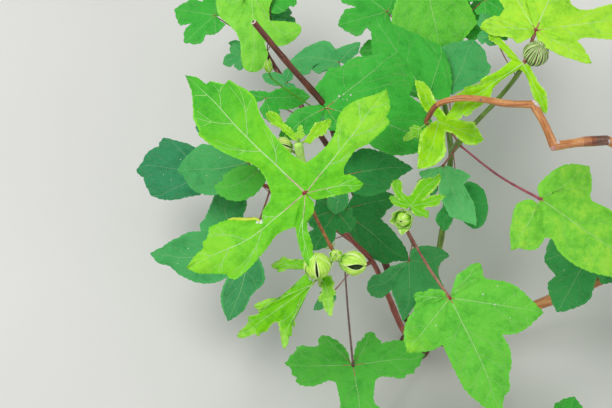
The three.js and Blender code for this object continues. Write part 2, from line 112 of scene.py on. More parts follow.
# Scars on some limbs: share of the length, way out of the bark, half-width, height, finish.
SCARS = {
    "zigzag_first": [
        (0.03, (0.3, 0.5, 0.8), 2.6, 1.1, "scar_grey"), (0.1, (-0.2, -0.5, 0.8), 2.2, 0.9, "scar_grey"),
        (0.0, (0.1, -0.7, 0.6), 2.4, 1.0, "scar_pale"), (0.95, (0.3, 0.6, 0.7), 2.5, 1.3, "scar_pale"),
        (0.99, (-0.4, 0.1, 0.9), 1.8, 0.9, "scar_grey"),
    ],
    "zigzag_second": [
        (0.0, (-0.2, -0.8, 0.5), 2.3, 2.6, "scar_pink"), (0.05, (0.5, -0.5, 0.7), 1.6, 1.0, "scar_pale"),
        (0.97, (0.5, 0.2, 0.8), 2.3, 1.2, "scar_pale"), (0.92, (0.8, 0.3, 0.5), 1.8, 1.3, "scar_pale"),
    ],
    "zigzag_arc": [
        (0.0, (0.1, 0.7, 0.7), 2.2, 1.3, "scar_pale"), (0.02, (-0.5, -0.3, 0.8), 1.4, 0.8, "scar_pink"),
        (0.45, (0.2, -0.5, 0.8), 1.3, 0.5, "scar_grey"),
    ],
    "stem_cut_top": [
        (0.07, (0.6, -0.2, 0.8), 1.9, 1.3, "scar_pink"), (0.12, (-0.5, -0.4, 0.7), 1.4, 0.8, "scar_pale"),
    ],
}

# Foliage masses: the slot of the leaves, and the stem that takes over at a limb's tip, with its
# half-widths at start and end, its bark or the run of its barks, its leaves and its buds. A leaf is
# (form, blade length, junction, heading, tilt, roll, place on the stem, shade, stalk); a bud is
# (middle, half-width, place on the stem, the way it points, kind). rule adds leaves that are not
# told one by one: how many, blade length, the way they face, its spread, seed and shade.
MASSES = {
    "foliage_top": {
        "slot": "leaf_bright", "width": (1.5, 1.4), "bark": "red",
        "stem": [(-60, 28, 190), (-68, 21, 228), (-76, 20, 252), (-82, 26, 264)],
        "leaves": [
            ("star", 134, (-102, 64, 285), 133, 4, -4, 0.99, "young", "orange"),
            ("low", 78, (-62, -47, 150), 273, 8, 0, 0.62, "grass", "purple"),
            ("mitten", 34, (-97, 8, 262), 180, 6, 0, 0.9, "lime", "green"),
            ("fork", 70, (-97, -4, 262), 215, 10, 0, 0.85, "lime", "green"),
            ("toothed", 29, (-90, 2, 262), 284, 12, 0, 0.9, "lime", "green"),
        ],
        "buds": [((-93, 8, 277), 10.4, 0.94, (-0.12, 0.5, 0.86), "slit"),
                 ((-63.5, 11, 270), 10.4, 0.94, (0.86, -0.3, 0.42), "open"),
                 ((-78, 17, 273), 5.2, 0.99, (-0.1, -0.2, 0.95), "small")],
    },
    "foliage_young_centre": {
        "slot": "leaf_bright", "width": (1.8, 3.1),
        "bark": ((0.42, 0.62), ("bark_red", "bark_olive", "shoot_green")),
        "stem": [(-60, 59, 150), (-73, 67, 175), (-92, 87, 215), (-105, 105, 240), (-108, 115, 252)],
        "leaves": [
            ("crinkle_left", 37, (-108, 117, 255), 136, -4, 0, 0.97, "tender", "green"),
            ("crinkle_right", 33, (-104, 116, 255), 36, -6, 0, 0.97, "tender", "green"),
            ("spoon", 11, (-107, 119, 256), 84, -10, 0, 0.98, "tender", "green"),
            ("under_long", 66, (-74, 106, 192), 10, 10, 0, 0.35, "dusk", "purple"),
            ("under_sail", 70, (-71, 92, 132), 322, 6, 0, 0.12, "dusk", "purple"),
        ],
        "buds": [((-121, 115, 246), 8.4, 0.9, (-0.6, 0.05, 0.8), "side")],
    },
    "foliage_left": {
        "slot": "leaf_dark", "width": (1.6, 1.2), "bark": "red",
        "stem": [(-126, 104, 155), (-146, 112, 158), (-166, 120, 152)],
        "leaves": [
            ("low_trio", 92, (-150, 63, 122), 186, 8, 0, 0.15, "cool", "pink"),
            ("left_oval", 66, (-150, 126, 168), 180, 10, 0, 0.4, "cool", "pink"),
            ("left_outer", 64, (-192, 130, 118), 172, 8, 0, 0.98, "blue", "pink"),
            ("left_small", 42, (-141.5, 110, 196), 200, 6, 0, 0.3, "grass", "green"),
            ("wide", 40, (-168, 168, 138), 120, 12, 0, 0.95, "blue", "pink"),
        ],
        "buds": [],
    },
    "foliage_middle": {
        "slot": "leaf_bright", "width": (1.8, 1.5), "bark": "red",
        "stem": [(-7, 58, 140), (-15, 57, 184), (-21, 53, 226)],
        "leaves": [
            ("broad", 100, (15, -4, 215), 295, 11, 0, 0.9, "bright", "pink"),
            ("hand", 39, (-17, 66, 240), 42, 4, 0, 0.98, "lime", "green"),
            ("under_three", 52, (-14, 42, 158), 262, 10, 0, 0.24, "cool", "pink"),
        ],
        "buds": [((-22.5, 56, 239), 8.2, 0.98, (-0.3, -0.45, 0.84), "leafy")],
    },
    "foliage_high_right": {
        "slot": "leaf_bright", "width": (2.5, 1.7), "bark": "olive",
        "stem": [(25, 141, 150), (40, 147, 210), (54, 153, 250), (66, 162, 278), (72, 170, 288)],
        "leaves": [
            ("spread", 124, (81, 195, 298), 66, 6, 0, 0.99, "fresh", "pink"),
            ("narrow", 82, (71, 169.5, 291.5), 220, 12, -8, 0.96, "lemon", "green"),
            ("blister", 104, (91, 78, 220), 326, 8, 0, 0.12, "dapple", "rose"),
            # painted light: this leaf's green is paler than the cool one so that it looks lit under the
            # leaves above
            ("right_hand", 71, (15, 122, 172), 295, 8, 0, 0.14, "mist", "pink"),
            ("right_mate", 50, (30, 107, 150), 289, 8, 0, 0.03, "shadow", "pink"),
            ("back_large", 88, (3, 178, 184), 122, 4, 0, 0.14, "mid", "pink"),
            ("back_right", 50, (21, 187, 176), 68, 8, 0, 0.1, "cool", "pink"),
        ],
        "buds": [((82, 179, 289), 10, 0.96, (0.25, 0.35, 0.9), "striped")],
    },
    "foliage_young_right": {
        "slot": "leaf_bright", "width": (1.9, 1.4), "bark": "red",
        "stem": [(-4, 132, 266), (-5, 132, 258), (-3, 133, 251)],
        "leaves": [
            ("three", 41, (6, 134, 252), 338, 6, 0, 0.9, "lemon", "green"),
            ("spoon", 16, (-10, 128, 252), 215, 10, 0, 0.9, "lime", "green"),
        ],
        "buds": [],
    },
    "foliage_behind": {
        "slot": "leaf_mid", "width": (2.0, 1.5), "bark": "dark",
        "stem": [(-65, 122, 135), (-62, 140, 168), (-66, 156, 200), (-74, 164, 222)],
        "leaves": [
            ("back_fan", 90, (-85, 151, 238), 337, 4, 0, 0.98, "mid", "green"),
            ("back_pair", 44, (-73, 207, 196), 160, 4, 0, 0.6, "cool", "pink"),
            ("back_left", 40, (-136, 173, 200), 2, 6, 0, 0.5, "mid", "pink"),
        ],
        "buds": [((-133, 188, 236), 5.4, 0.55, (-0.15, 0.5, 0.85), "tip")],
    },
    "foliage_far_left": {
        "slot": "leaf_mid", "width": (1.9, 1.4), "bark": "dark",
        "stem": [(-130, 228, 130), (-140, 244, 136), (-150, 262, 146)],
        "leaves": [("top_left", 67, (-150, 284, 160), 272, 6, 0, 0.95, "mint", "pink")],
        "buds": [],
        "rule": (3, 50, 108, 56, 5, "mid"),
    },
    "foliage_far_back": {
        "slot": "leaf_mid", "width": (2.1, 1.5), "bark": "olive",
        "stem": [(16, 218, 130), (14, 234, 134), (12, 252, 142)],
        "leaves": [], "buds": [],
        "rule": (4, 56, 82, 70, 11, "mid"),
    },
    "foliage_right": {
        "slot": "leaf_dark", "width": (2.6, 1.8), "bark": "tan",
        "stem": [(158, 38, 102), (176, 42, 108), (196, 48, 120)],
        "leaves": [("shield", 68, (150, 64, 128), 240, 8, 0, 0.3, "dusk", "pink")],
        "buds": [],
        "rule": (4, 58, 5, 66, 23, "cool"),
    },
    "foliage_front": {
        "slot": "leaf_mid", "width": (2.5, 1.6), "bark": "red",
        "stem": [(-50, -84, 56), (-52, -106, 66), (-44, -130, 80)],
        "leaves": [], "buds": [],
        "rule": (5, 60, 262, 66, 37, "mid"),
    },
    "foliage_front_right": {
        "slot": "leaf_mid", "width": (2.4, 1.6), "bark": "red",
        "stem": [(50, -96, 58), (62, -112, 70), (76, -128, 86)],
        "leaves": [], "buds": [],
        "rule": (4, 58, 318, 62, 51, "mid"),
    },
}

# Further leaves that stand between and under those of the solids, told as they are.
FURTHER = {
    "foliage_young_centre": [
        ("shield", 38, (-77, 70, 215), 240, 12, 0, 0.75, "dusk", "purple"),
        ("under_long", 50, (-66, 97, 124), 12, 6, 0, 0.05, "dusk", "purple"),
        ("left_oval", 25, (-75, 89, 224), 262, 8, 0, 0.6, "cool", "green"),
    ],
    "foliage_far_back": [("back_right", 78, (6, 318, 172), 279, 4, 0, 0.55, "bright", "pink")],
    "foliage_far_left": [("back_left", 25, (-119, 206, 146), 152, 8, 0, 0.03, "cool", "pink")],
}

# Finer leaves of each mass: how many, their blade length, the way they face, its spread, shade, and
# the seed of their draw.
FINE = {
    "foliage_top": (1, 20, 220, 120, "cool", 7),
    "foliage_young_centre": (3, 20, 180, 150, "cool", 12),
    "foliage_left": (4, 26, 40, 120, "cool", 85),
    "foliage_middle": (1, 18, 280, 140, "cool", 141),
    "foliage_high_right": (2, 24, 220, 160, "cool", 55),
    "foliage_young_right": (0, 9, 0, 90, "lime", 179),
    "foliage_behind": (5, 24, 60, 150, "cool", 194),
    "foliage_far_left": (5, 28, 140, 110, "cool", 184),
    "foliage_far_back": (4, 34, 110, 110, "mid", 22),
    "foliage_right": (7, 28, 10, 110, "cool", 75),
    "foliage_front": (7, 28, 265, 110, "cool", 1),
    "foliage_front_right": (7, 28, 320, 110, "cool", 1),
}

# Outlines of the leaves that are told one by one, in hundredths of the blade length: x out along the
# central lobe, y to its left, from the notch's right side round to its left. 1 marks a bay and 2
# a lobe's tip.
OUTLINES = {
    "star": [
        (-6, -1, 1), (-13, -11), (-17, -18), (-20, -24), (-20, -28, 2), (-11, -27), (-7, -24, 1),
        (-4, -27), (-2, -33), (-1, -40), (-3, -47), (-3, -55), (-3, -60), (-2, -66), (2, -67), (4, -72),
        (8, -75), (14, -79, 2), (16, -73), (19, -67), (23, -57), (23, -50), (21, -45), (16, -39),
        (13, -29), (13, -20), (14, -13, 1), (23, -11), (35, -11), (44, -12), (50, -13), (57, -15),
        (67, -20), (72, -20), (74, -20), (81, -18), (87, -17), (86, -13), (94, -8), (94, -5), (102, -4),
        (108, 0, 2), (98, 4), (95, 6), (86, 13), (84, 15), (75, 18), (74, 20), (65, 19), (55, 17),
        (46, 14), (39, 11), (32, 9), (25, 10), (15, 14, 1), (12, 18), (11, 23), (9, 27), (6, 29), (6, 31),
        (9, 31), (14, 36), (20, 41), (23, 46), (26, 54), (22, 59), (22, 63), (19, 65), (19, 73),
        (17, 80, 2), (10, 77), (4, 71), (-2, 66), (-5, 66), (-8, 64), (-9, 56), (-8, 41), (-6, 28),
        (-8, 22), (-10, 18, 1), (-20, 24), (-26, 27), (-33, 29, 2), (-31, 24), (-26, 19), (-14, 12),
        (-11, 4), (-7, 0, 1),
    ],
    "low_trio": [
        (-2, -6, 1), (5, -29), (0, -45), (7, -58), (18, -66, 2), (31, -56), (41, -37), (48, -30),
        (47, -23, 1), (59, -24), (73, -20), (88, -13), (99, -9, 2), (91, 2), (81, 6), (72, 16), (55, 26),
        (38, 29), (26, 26, 1), (34, 43), (33, 55), (29, 68, 2), (14, 60), (5, 47), (-9, 34), (-9, 19),
        (-4, 5, 1),
    ],
    "back_fan": [
        (-7, 1, 1), (-23, -11), (-27, -19), (-29, -30), (-29, -42, 2), (-17, -40), (-8, -33), (-3, -21),
        (0, -5, 1), (4, -11), (10, -17), (19, -17, 2), (24, -10), (27, -3, 1), (38, -10), (49, -14),
        (64, -15), (79, -12), (93, -3), (106, 0, 2), (105, 16), (96, 29), (84, 39), (65, 45, 1), (63, 62),
        (54, 73), (40, 79, 2), (18, 66), (2, 54), (-2, 46), (-13, 38), (-14, 27), (-17, 15), (-14, 8),
        (-6, 3, 1),
    ],
    "back_pair": [
        (-14, 0, 1), (-20, -16), (-27, -32), (-24, -53, 2), (-10, -46), (5, -34), (16, -24, 1), (36, -35),
        (50, -33), (66, -19), (78, -5), (88, 14), (95, 29, 2), (83, 39), (68, 45), (49, 40), (49, 29, 1),
        (42, 31), (31, 36, 2), (16, 23), (-6, 13, 1),
    ],
    "top_left": [
        (5, -2, 1), (-10, -15), (-17, -39, 2), (-1, -46), (13, -47), (25, -44), (34, -35), (49, -22, 1),
        (63, -17), (84, -16), (97, -13), (103, -5, 2), (102, 5), (93, 15), (80, 19), (71, 17), (63, 15, 1),
        (67, 25), (69, 39), (63, 52), (53, 63, 2), (45, 65), (39, 59), (37, 47), (35, 23, 1), (18, 23),
        (-3, 30), (-23, 25, 2), (-12, 14), (4, 5, 1),
    ],
    "right_mate": [
        (3, 4, 1), (8, -14), (15, -26), (22, -37), (28, -47), (38, -54), (52, -51), (61, -47, 2), (59, -39),
        (49, -28), (39, -19), (31, -9, 1), (46, -9), (55, -9), (64, -4), (73, 3, 2), (74, 15), (68, 26),
        (56, 35), (44, 40), (30, 43), (15, 43), (6, 38), (-3, 30), (-8, 21), (-6, 13, 1),
    ],
    "back_left": [
        (-3, -9, 1), (-12, -22), (-4, -42), (19, -60, 2), (32, -46), (28, -24, 1), (56, -22), (80, -10),
        (96, 5, 2), (81, 20), (60, 26), (32, 23), (10, 13, 1), (-7, 16), (-34, 16, 2), (-37, 0), (-24, -9),
        (-7, -5, 1),
    ],
    "left_oval": [
        (2, -4, 1), (13, -12), (54, -29), (68, -30), (89, -12), (99, 5, 2), (90, 12), (81, 27), (72, 34),
        (45, 40), (17, 28), (2, 6, 1),
    ],
    "left_outer": [
        (2, -4, 1), (16, -35), (25, -42), (67, -50, 2), (73, -43), (73, -38), (80, -34, 1), (88, -27),
        (94, -8), (99, 0, 2), (96, 5), (87, 10), (84, 18, 1), (71, 36, 2), (48, 40), (2, 27), (-2, 5, 1),
    ],
    "left_small": [
        (0, -5, 1), (4, -13), (16, -19), (41, -24), (70, -18), (75, -7), (94, -5, 2), (93, 11), (86, 22),
        (74, 34), (60, 42), (39, 44), (17, 39), (0, 29), (-7, 21), (-8, 7), (-4, -2, 1),
    ],
    "right_hand": [
        (0, -4, 1), (-4, -26), (-3, -30, 2), (4, -28), (14, -10, 1), (29, -17), (59, -18), (83, 7, 2),
        (60, 15), (31, 14, 1), (26, 26, 2), (18, 21), (0, 2, 1),
    ],
    "under_long": [
        (0, -7, 1), (7, -18), (31, -28), (49, -27), (63, -23), (71, -14), (101, 1, 2), (79, 20), (52, 33),
        (38, 35), (26, 30), (0, 3, 1),
    ],
    "under_sail": [
        (0, -3, 1), (6, -9), (16, -13), (51, -19), (78, -18), (85, -14), (89, -7), (104, 6, 2), (98, 12),
        (80, 20), (48, 25), (32, 24), (6, 12), (0, 4, 1),
    ],
    "under_three": [
        (3, -5, 1), (16, -30), (28, -42), (33, -55), (44, -61), (56, -62, 2), (65, -54), (68, -38),
        (61, -29), (52, -22, 1), (101, 4, 2), (75, 18), (62, 30), (43, 52, 1), (37, 63), (15, 50), (5, 49),
        (-6, 54), (-16, 65, 2), (-22, 57), (-26, 47), (-28, 31), (-25, 15), (-19, 2), (-7, 0, 1),
    ],
    "back_large": [
        (-1, -2, 1), (-10, -18), (-2, -26), (19, -38), (42, -42, 2), (65, -31, 1), (106, -7, 2), (101, 0),
        (79, 14), (70, 18), (57, 14, 1), (49, 25), (37, 29), (29, 28, 2), (21, 18), (2, 4, 1),
    ],
    "back_right": [
        (-1, -8, 1), (48, -44), (69, -52), (85, -52), (91, -42), (108, -32), (121, -7, 2), (104, 22),
        (85, 44), (66, 39), (39, 26), (17, 18), (-3, 2, 1),
    ],
    "broad": [
        (-2, -1, 1), (-7, -2), (-13, -12), (-13, -17), (-15, -21), (-14, -26, 2), (-7, -27), (-3, -31, 1),
        (3, -40), (13, -47), (26, -50, 2), (32, -32), (32, -21, 1), (61, -20), (76, -18), (85, -14),
        (97, -7), (103, 0, 2), (91, 8), (88, 14), (76, 19), (72, 23), (59, 28), (45, 27, 1), (49, 42),
        (43, 66, 2), (26, 60), (11, 52), (-2, 34, 1), (-7, 33), (-11, 35), (-16, 34, 2), (-17, 29),
        (-15, 18), (-15, 15), (-2, 2, 1),
    ],
    "low": [
        (-2, -2, 1), (-18, -7), (-23, -11), (-32, -24), (-34, -32, 2), (-31, -35), (-23, -36, 1),
        (-22, -44), (-24, -52), (-23, -59), (-18, -61), (-14, -67), (-10, -69), (-6, -74, 2), (0, -67),
        (6, -66), (10, -61), (14, -62), (17, -59), (20, -49), (19, -40), (15, -27), (17, -20, 1),
        (24, -18), (45, -16), (60, -22), (68, -18), (94, -1, 2), (78, 11), (67, 21), (59, 26), (46, 25),
        (42, 20), (35, 20), (18, 23, 1), (14, 28), (14, 36), (17, 54), (13, 57), (12, 65), (6, 68),
        (3, 72), (-2, 74), (-8, 79, 2), (-12, 70), (-23, 57), (-24, 44), (-22, 32, 1), (-26, 30),
        (-29, 26), (-34, 25), (-35, 21, 2), (-34, 17), (-26, 10), (-25, 6), (-12, 2), (-4, 1, 1),
    ],
    "blister": [
        (0, -4, 1), (-5, -4), (-10, -8), (-13, -15), (-7, -33), (3, -48, 2), (8, -42), (13, -40),
        (19, -35), (20, -23, 1), (25, -21), (36, -26), (63, -25), (98, -7), (109, 5, 2), (101, 13),
        (81, 24), (68, 27), (52, 27), (35, 24, 1), (31, 27), (29, 33), (18, 46, 2), (5, 39), (-2, 30),
        (-7, 13), (-7, 8), (1, -1, 1),
    ],
    "spread": [
        (-4, -3, 1), (-7, -8), (-8, -14), (-8, -35), (-6, -41, 2), (-2, -38), (-1, -35), (2, -34),
        (6, -27, 1), (10, -30), (19, -51), (28, -58), (41, -64, 2), (46, -54), (46, -46), (41, -38),
        (31, -27), (28, -20, 1), (29, -14), (36, -11), (52, -12), (73, -19), (93, -19), (110, -12),
        (124, -1, 2), (108, 5), (63, 16), (26, 18, 1), (36, 25), (49, 37), (56, 50), (57, 60, 2), (44, 61),
        (31, 57), (21, 45), (14, 32), (8, 24), (1, 25, 1), (-1, 29), (-8, 33), (-13, 33, 2), (-14, 26),
        (-11, 11), (-12, 7), (-5, 1, 1),
    ],
    "narrow": [
        (0, 0, 1), (0, -23), (1, -39), (6, -44, 2), (9, -39), (7, -34), (6, -10, 1), (24, -11), (41, -15),
        (44, -13), (58, -20), (60, -18), (67, -20), (78, -14), (94, -10, 2), (80, 0), (76, -2), (75, 1),
        (71, 3), (67, 2), (47, 4), (38, -1), (20, -1), (6, 2, 1), (5, 9), (18, 42), (16, 51, 2), (12, 49),
        (5, 40), (2, 33), (2, 25), (-3, 4), (-1, 1, 1),
    ],
    "three": [
        (-3, 4, 1), (-21, -25), (-23, -46), (-3, -105, 2), (20, -90), (29, -78), (33, -70), (35, -55),
        (26, -33), (20, -12, 1), (34, -10), (50, -16), (66, -21), (81, -16), (91, -6), (97, 4, 2),
        (65, 27), (47, 21), (29, 19), (10, 18, 1), (2, 23), (-10, 29), (-23, 38), (-41, 57), (-58, 65),
        (-75, 64, 2), (-64, 45), (-49, 24), (-35, 12), (-23, 9), (-8, 8, 1),
    ],
    "fork": [
        (-2, -15, 1), (36, -9), (50, -17), (66, -21, 2), (67, -17), (65, -12), (68, -10, 1), (80, -14),
        (83, -10), (103, -5, 2), (101, -1), (94, 3), (84, 6), (83, 10), (77, 9), (72, 11), (62, 8),
        (56, 10, 1), (57, 16), (66, 33), (67, 40, 2), (60, 37), (55, 31), (52, 32), (44, 23, 1),
        (44, 27, 2), (41, 25), (39, 20), (29, 11), (7, -2), (-5, -6, 1),
    ],
    "toothed": [
        (-5, 3, 1), (13, 1), (27, -4), (37, -5), (53, -19), (61, -21), (66, -12), (80, -11), (92, -8),
        (109, 0, 2), (106, 7), (90, 12), (79, 18), (62, 19), (54, 22), (56, 29), (46, 29), (39, 27),
        (30, 28), (23, 34), (13, 28), (3, 30), (0, 21), (-7, 14, 1),
    ],
    "mitten": [
        (16, -25, 1), (56, -28), (61, -32), (71, -33), (74, -26), (84, -23), (92, -19), (96, -13, 2),
        (89, -7), (85, -6, 1), (78, -8), (82, 1, 2), (77, 2), (37, -9), (23, -8), (15, -9, 1),
    ],
    "crinkle_left": [
        (6, -11, 1), (29, -7), (52, -8), (68, -12), (79, -10), (90, -6), (94, 0, 2), (93, 5), (87, 7),
        (82, 12), (73, 12), (67, 15), (50, 8), (7, 6), (1, 2, 1),
    ],
    "crinkle_right": [
        (11, -15, 1), (31, -11), (59, -18), (65, -11), (72, -9), (89, 4, 2), (85, 9), (77, 9), (66, 15),
        (59, 15), (52, 20), (41, 15), (36, 15), (29, 10), (12, 4, 1),
    ],
    "hand": [
        (-5, -8, 1), (-6, -18), (-2, -26), (5, -33), (8, -39), (15, -41, 2), (19, -32), (19, -25),
        (17, -20, 1), (26, -23), (35, -31), (48, -36), (57, -31), (73, -31, 2), (69, -26), (54, -13),
        (27, -6, 1), (52, -6), (78, -2), (97, 8, 2), (96, 14), (78, 17), (72, 23), (56, 30), (48, 29),
        (24, 20), (16, 19), (11, 21, 1), (9, 27), (9, 35), (22, 50), (22, 62, 2), (15, 64), (8, 65),
        (3, 62), (-9, 25, 1), (-10, 41), (-16, 45, 2), (-21, 41), (-23, 31), (-23, 24), (-19, 16),
        (-10, 3, 1),
    ],
}

# Forms of the other leaves. A lobe is (angle from the central lobe, length, half-width), lengths
# as shares of the central lobe, from the right-hand side to the left; then the depth of each bay
# between two lobes, and of the notch where the stalk joins.
FORMS = {
    "wide": ([(-122, .42, .2), (-64, .62, .25), (0, 1, .3), (57, .8, .27), (113, .42, .2)],
             (.34, .5, .52, .34), .1),
    "shield": ([(-92, .5, .22), (-42, .68, .25), (0, 1, .28), (66, .56, .24), (120, .36, .18)],
               (.36, .5, .42, .3), .1),
    "spoon": ([(-45, .5, .16), (0, 1, .2), (45, .5, .16)], (.3, .3), .12),
}

# Curves: steps between two points, and the turn in degrees above which an outline's point stays sharp.
CURVE_STEPS = 48
CORNER_TURN = 48

# A ruled lobe: where it is widest, the powers of its fall to the tip, the points of its edge, and how
# far the two outermost bays lie towards the notch.
LOBE_WIDEST = 0.48
LOBE_FALL = (1.35, 0.95)
LOBE_POINTS = 14
NOTCH_OPEN = 0.8

# A lobe: where its rib passes between the edges, the least and most share that lies within the bays,
# steps along its edge, and the teeth: how their spacing wanders, how round they are, how deep the bays
# between them cut, and the shares of the edge at bay and tip where they fade.
RIB_THROUGH = [0.4, 0.7]
LEAST_BASE, MOST_BASE = 0.04, 0.6
EDGE_STEPS = 600
TOOTH_WANDER, TOOTH_ROUND, TOOTH_BAY = 0.25, 0.8, 0.35
TOOTH_FADE = (0.18, 0.05)

# A blade's relief: the fold at the bays, the power by which folds grow to the edge, the share of the
# way out where the fold of the shade has taken over, and how far side veins bend to the tip.
BAY_FOLD = 0.02
FOLD_CURVE = 1.3
FOLD_EASE = 0.4
VEIN_SWEEP = 1.35

# A blade's grid: rows below the bays, rows a tooth and the longest row in millimetres, fewest and most
# rows; half a lobe's width as a share of its length, millimetres a column, fewest and most columns a
# side, and the power by which they crowd at the edge.
FAN_ROWS = 5
ROWS_A_TOOTH, LONGEST_ROW = 4.5, 1.5
ROW_LIMITS = (8, 120)
HALF_LOBE, COLUMN_WIDTH = 0.22, 2.6
COLUMN_LIMITS = (3, 7)
COLUMN_CROWD = 1.35

# Veins: points of a rib, a side vein and a rolled edge, where a branch leaves a side vein, the blade
# length above which it has one and the lobe's least share of it, and the thinnest rib and side vein.
RIB_POINTS, SIDE_POINTS, ROLL_POINTS = 40, 26, 30
BRANCH_AT = 0.5
BRANCHED_BLADE, BRANCHED_LOBE = 45, 0.45
THINNEST_RIB, THINNEST_VEIN = 0.18, 0.14

# Stalks: half-width as a share of blade length and at the least, how far the middle sags as a share of
# the span, how far the end lies out along the blade, and rings.
STALK_RADIUS, THINNEST_STALK = 0.0165, 0.8
STALK_SAG, STALK_SINK = 0.1, 0.012
STALK_RINGS = 26

# Leaves by rule: the share of the spread from one leaf to the next, and the chain of numbers, each of
# which is what is left of the last one times the first of these when it is divided by the second.
GOLDEN_SHARE = 0.618
CHAIN_TIMES, CHAIN_SPAN = 16807, 2147483647

# A tube's closed end stands out by this share of its half-width.
END_DOME = 0.45

# Buds: the thinnest neck and its share of the half-width, sepals, rings and sides of the core, rows and
# columns of a sepal, half the angle that a sepal takes up, as it is and at the seam, and how many
# columns the lines shift from one sepal to the next.
THINNEST_NECK, NECK_SHARE = 0.6, 0.14
SEPALS = 5
CORE_RINGS, CORE_SIDES = 12, 16
SEPAL_ROWS, SEPAL_COLUMNS = 26, 23
SEPAL_HALF, SEAM_HALF = 46, 36
STRIPE_SHIFT = 5

# The root crown: height, profile as (half-width, height), rings and sides.
CROWN_HEIGHT = 50
CROWN_PROFILE = [(15, 0), (12.9, 6), (11, 18), (13, 35), (9.4, 46), (0, 50)]
CROWN_RINGS, CROWN_SIDES = 44, 56

# Leaflets: rows and columns, how far they bend up and how thick they are.
LANCET_ROWS, LANCET_COLUMNS = 9, 5
LANCET_CURL, LANCET_THICKNESS = 0.3, 0.35

# Limbs and the masses' own stems: sides, millimetres a ring, rings more, and the relief's first seed.
LIMB_SIDES, LIMB_RING, LIMB_MORE, LIMB_SEED = 18, 1.3, 8, 40
STEM_SIDES, STEM_RING, STEM_MORE, STEM_SEED = 12, 1.4, 6, 70

# The span that phases are drawn from, about a full turn.
PHASES = 6.28

# The stage, in metres and degrees: lights as (name, place, aim, width across), their powers being
# settings, the colours of sky and floor, and the camera.
LIGHTS = (("key", (-0.75, 0.55, 1.9), (0, 0, 0.15), 1.1), ("fill", (1.3, -0.9, 1.5), (0, 0, 0.1), 1.4))
SKY_COLOUR = (0.96, 0.98, 1.0, 1)
FLOOR_COLOURS = ((0.78, 0.77, 0.74, 1), (0.75, 0.74, 0.71, 1))
CAMERA_PLACE, CAMERA_TILT = (-0.1016, -0.3105, 1.560), 16
LENS_LENGTH, SENSOR_WIDTH, NEAREST_SEEN = 100, 36, 0.01

# How each shade of leaf is shaped: tooth spacing and depth in millimetres and how far teeth lean to
# the tip; the fold at the ribs as a share of the half-width; arch to the tips, puffing between side
# veins and ruffling at the edge as shares of the blade length; side veins a lobe and how far they run
# to the tip; and the shares of the blade length over which a rib is red and then its near colour.
Habit = namedtuple("Habit", "pitch tooth lean fold arch puff ruffle veins run red pink")
HABITS = {
    "tender": Habit(2.6, 0.9, 1.3, -0.3, 0.08, 0.05, 0.05, 4.6, 2.2, 0, 0),
    "lime": Habit(3.2, 0.8, 1.5, -0.04, 0.08, 0.016, 0.022, 3.4, 2.8, 0, 0),
    "lemon": Habit(3.6, 0.7, 1.5, -0.26, 0.07, 0.016, 0.014, 3.6, 2.8, 0, 0),
    "fresh": Habit(4.2, 0.6, 1.4, 0.15, 0.07, 0.02, 0.008, 5.0, 1.3, 0.01, 0.05),
    "young": Habit(4.1, 0.6, 1.6, 0.13, 0.07, 0.02, 0.006, 4.1, 1.25, 0.012, 0.16),
    "bright": Habit(4.8, 0.85, 1.4, 0.13, 0.07, 0.016, 0.008, 5.0, 1.2, 0.01, 0.04),
    "dapple": Habit(4.8, 0.7, 1.3, 0.07, 0.06, 0.014, 0.008, 4.6, 1.2, 0.01, 0.02),
    "mint": Habit(5.0, 0.4, 1.3, 0.13, 0.07, 0.014, 0.008, 4.0, 1.2, 0, 0.03),
    "grass": Habit(5.6, 0.9, 1.5, 0.14, 0.07, 0.012, 0.008, 4.6, 1.2, 0.01, 0.12),
    "mid": Habit(6.0, 0.9, 1.6, 0.14, 0.07, 0.012, 0.008, 5.0, 1.2, 0.02, 0.08),
    "mist": Habit(5.6, 0.6, 1.5, 0.14, 0.07, 0.012, 0.01, 5.0, 1.2, 0.02, 0.05),
    "shadow": Habit(5.6, 0.4, 1.5, 0.14, 0.07, 0.012, 0.01, 4.6, 1.2, 0.02, 0.05),
    "cool": Habit(6.0, 0.6, 1.5, 0.14, 0.07, 0.01, 0.01, 5.0, 1.2, 0.02, 0.06),
    "blue": Habit(6.4, 0.7, 1.5, 0.14, 0.07, 0.01, 0.01, 5.0, 1.2, 0.02, 0.05),
    "dusk": Habit(6.5, 0.8, 1.5, 0.15, 0.07, 0.01, 0.012, 5.0, 1.2, 0.02, 0.3),
}

# Lobes that turn to another tint on the way to their tip: the lobe's place round the blade, the tint,
# and the shares of the way where the turn starts and ends. A turn is made in TINT_STEPS steps. The
# cold turn of the star's central lobe and the slate of the low trio's third lobe are painted shade.
LOBE_TINTS = {
    "star": {1: ("warm", 0.0, 0.45), 2: ("cold", 0.35, 0.8), 3: ("warm", 0.1, 1.2)},
    "low_trio": {2: ("slate", 0.0, 0.2)},
    "broad": {1: ("warm", 0.1, 1.1)},
    "fork": {
        0: ("cream", 0.1, 1.5), 1: ("cream", 0.3, 1.5), 2: ("cream", 0.1, 1.2), 3: ("cream", 0.1, 1.5),
    },
    "toothed": {0: ("cream", 0.1, 1.2)},
    "mitten": {0: ("cream", 0.3, 1.6)},
}
TINT_STEPS = 4

# Edges that have rolled over: lobe, side, and the shares of the edge where the roll starts and ends.
ROLLED_EDGES = {"star": [(3, -1, 0.235, 0.5)]}

# Specks on the faces of leaves: x and y in hundredths of the blade length, and half-width.
SPECKS = {
    "broad": [(8, 28, 0.8), (7, 41, 0.6), (19, 30, 0.75), (13, -18, 0.6), (36, 38, 0.55)],
    "star": [(5, 31, 2.1), (7, 32, 1.5), (7, 30, 1.4)],
    "back_fan": [(8, 15, 1.0), (11, 18, 0.7), (16, 19, 0.9), (14, 16, 0.6), (11, 14, 0.5)],
    "left_outer": [(24, 6, 0.6), (36, -17, 0.5), (44, 12, 0.5), (60, 2, 0.5)],
    "left_oval": [(40, -8, 0.5), (58, 12, 0.5)],
    "low_trio": [(60, -8, 0.5), (72, 6, 0.45)],
}


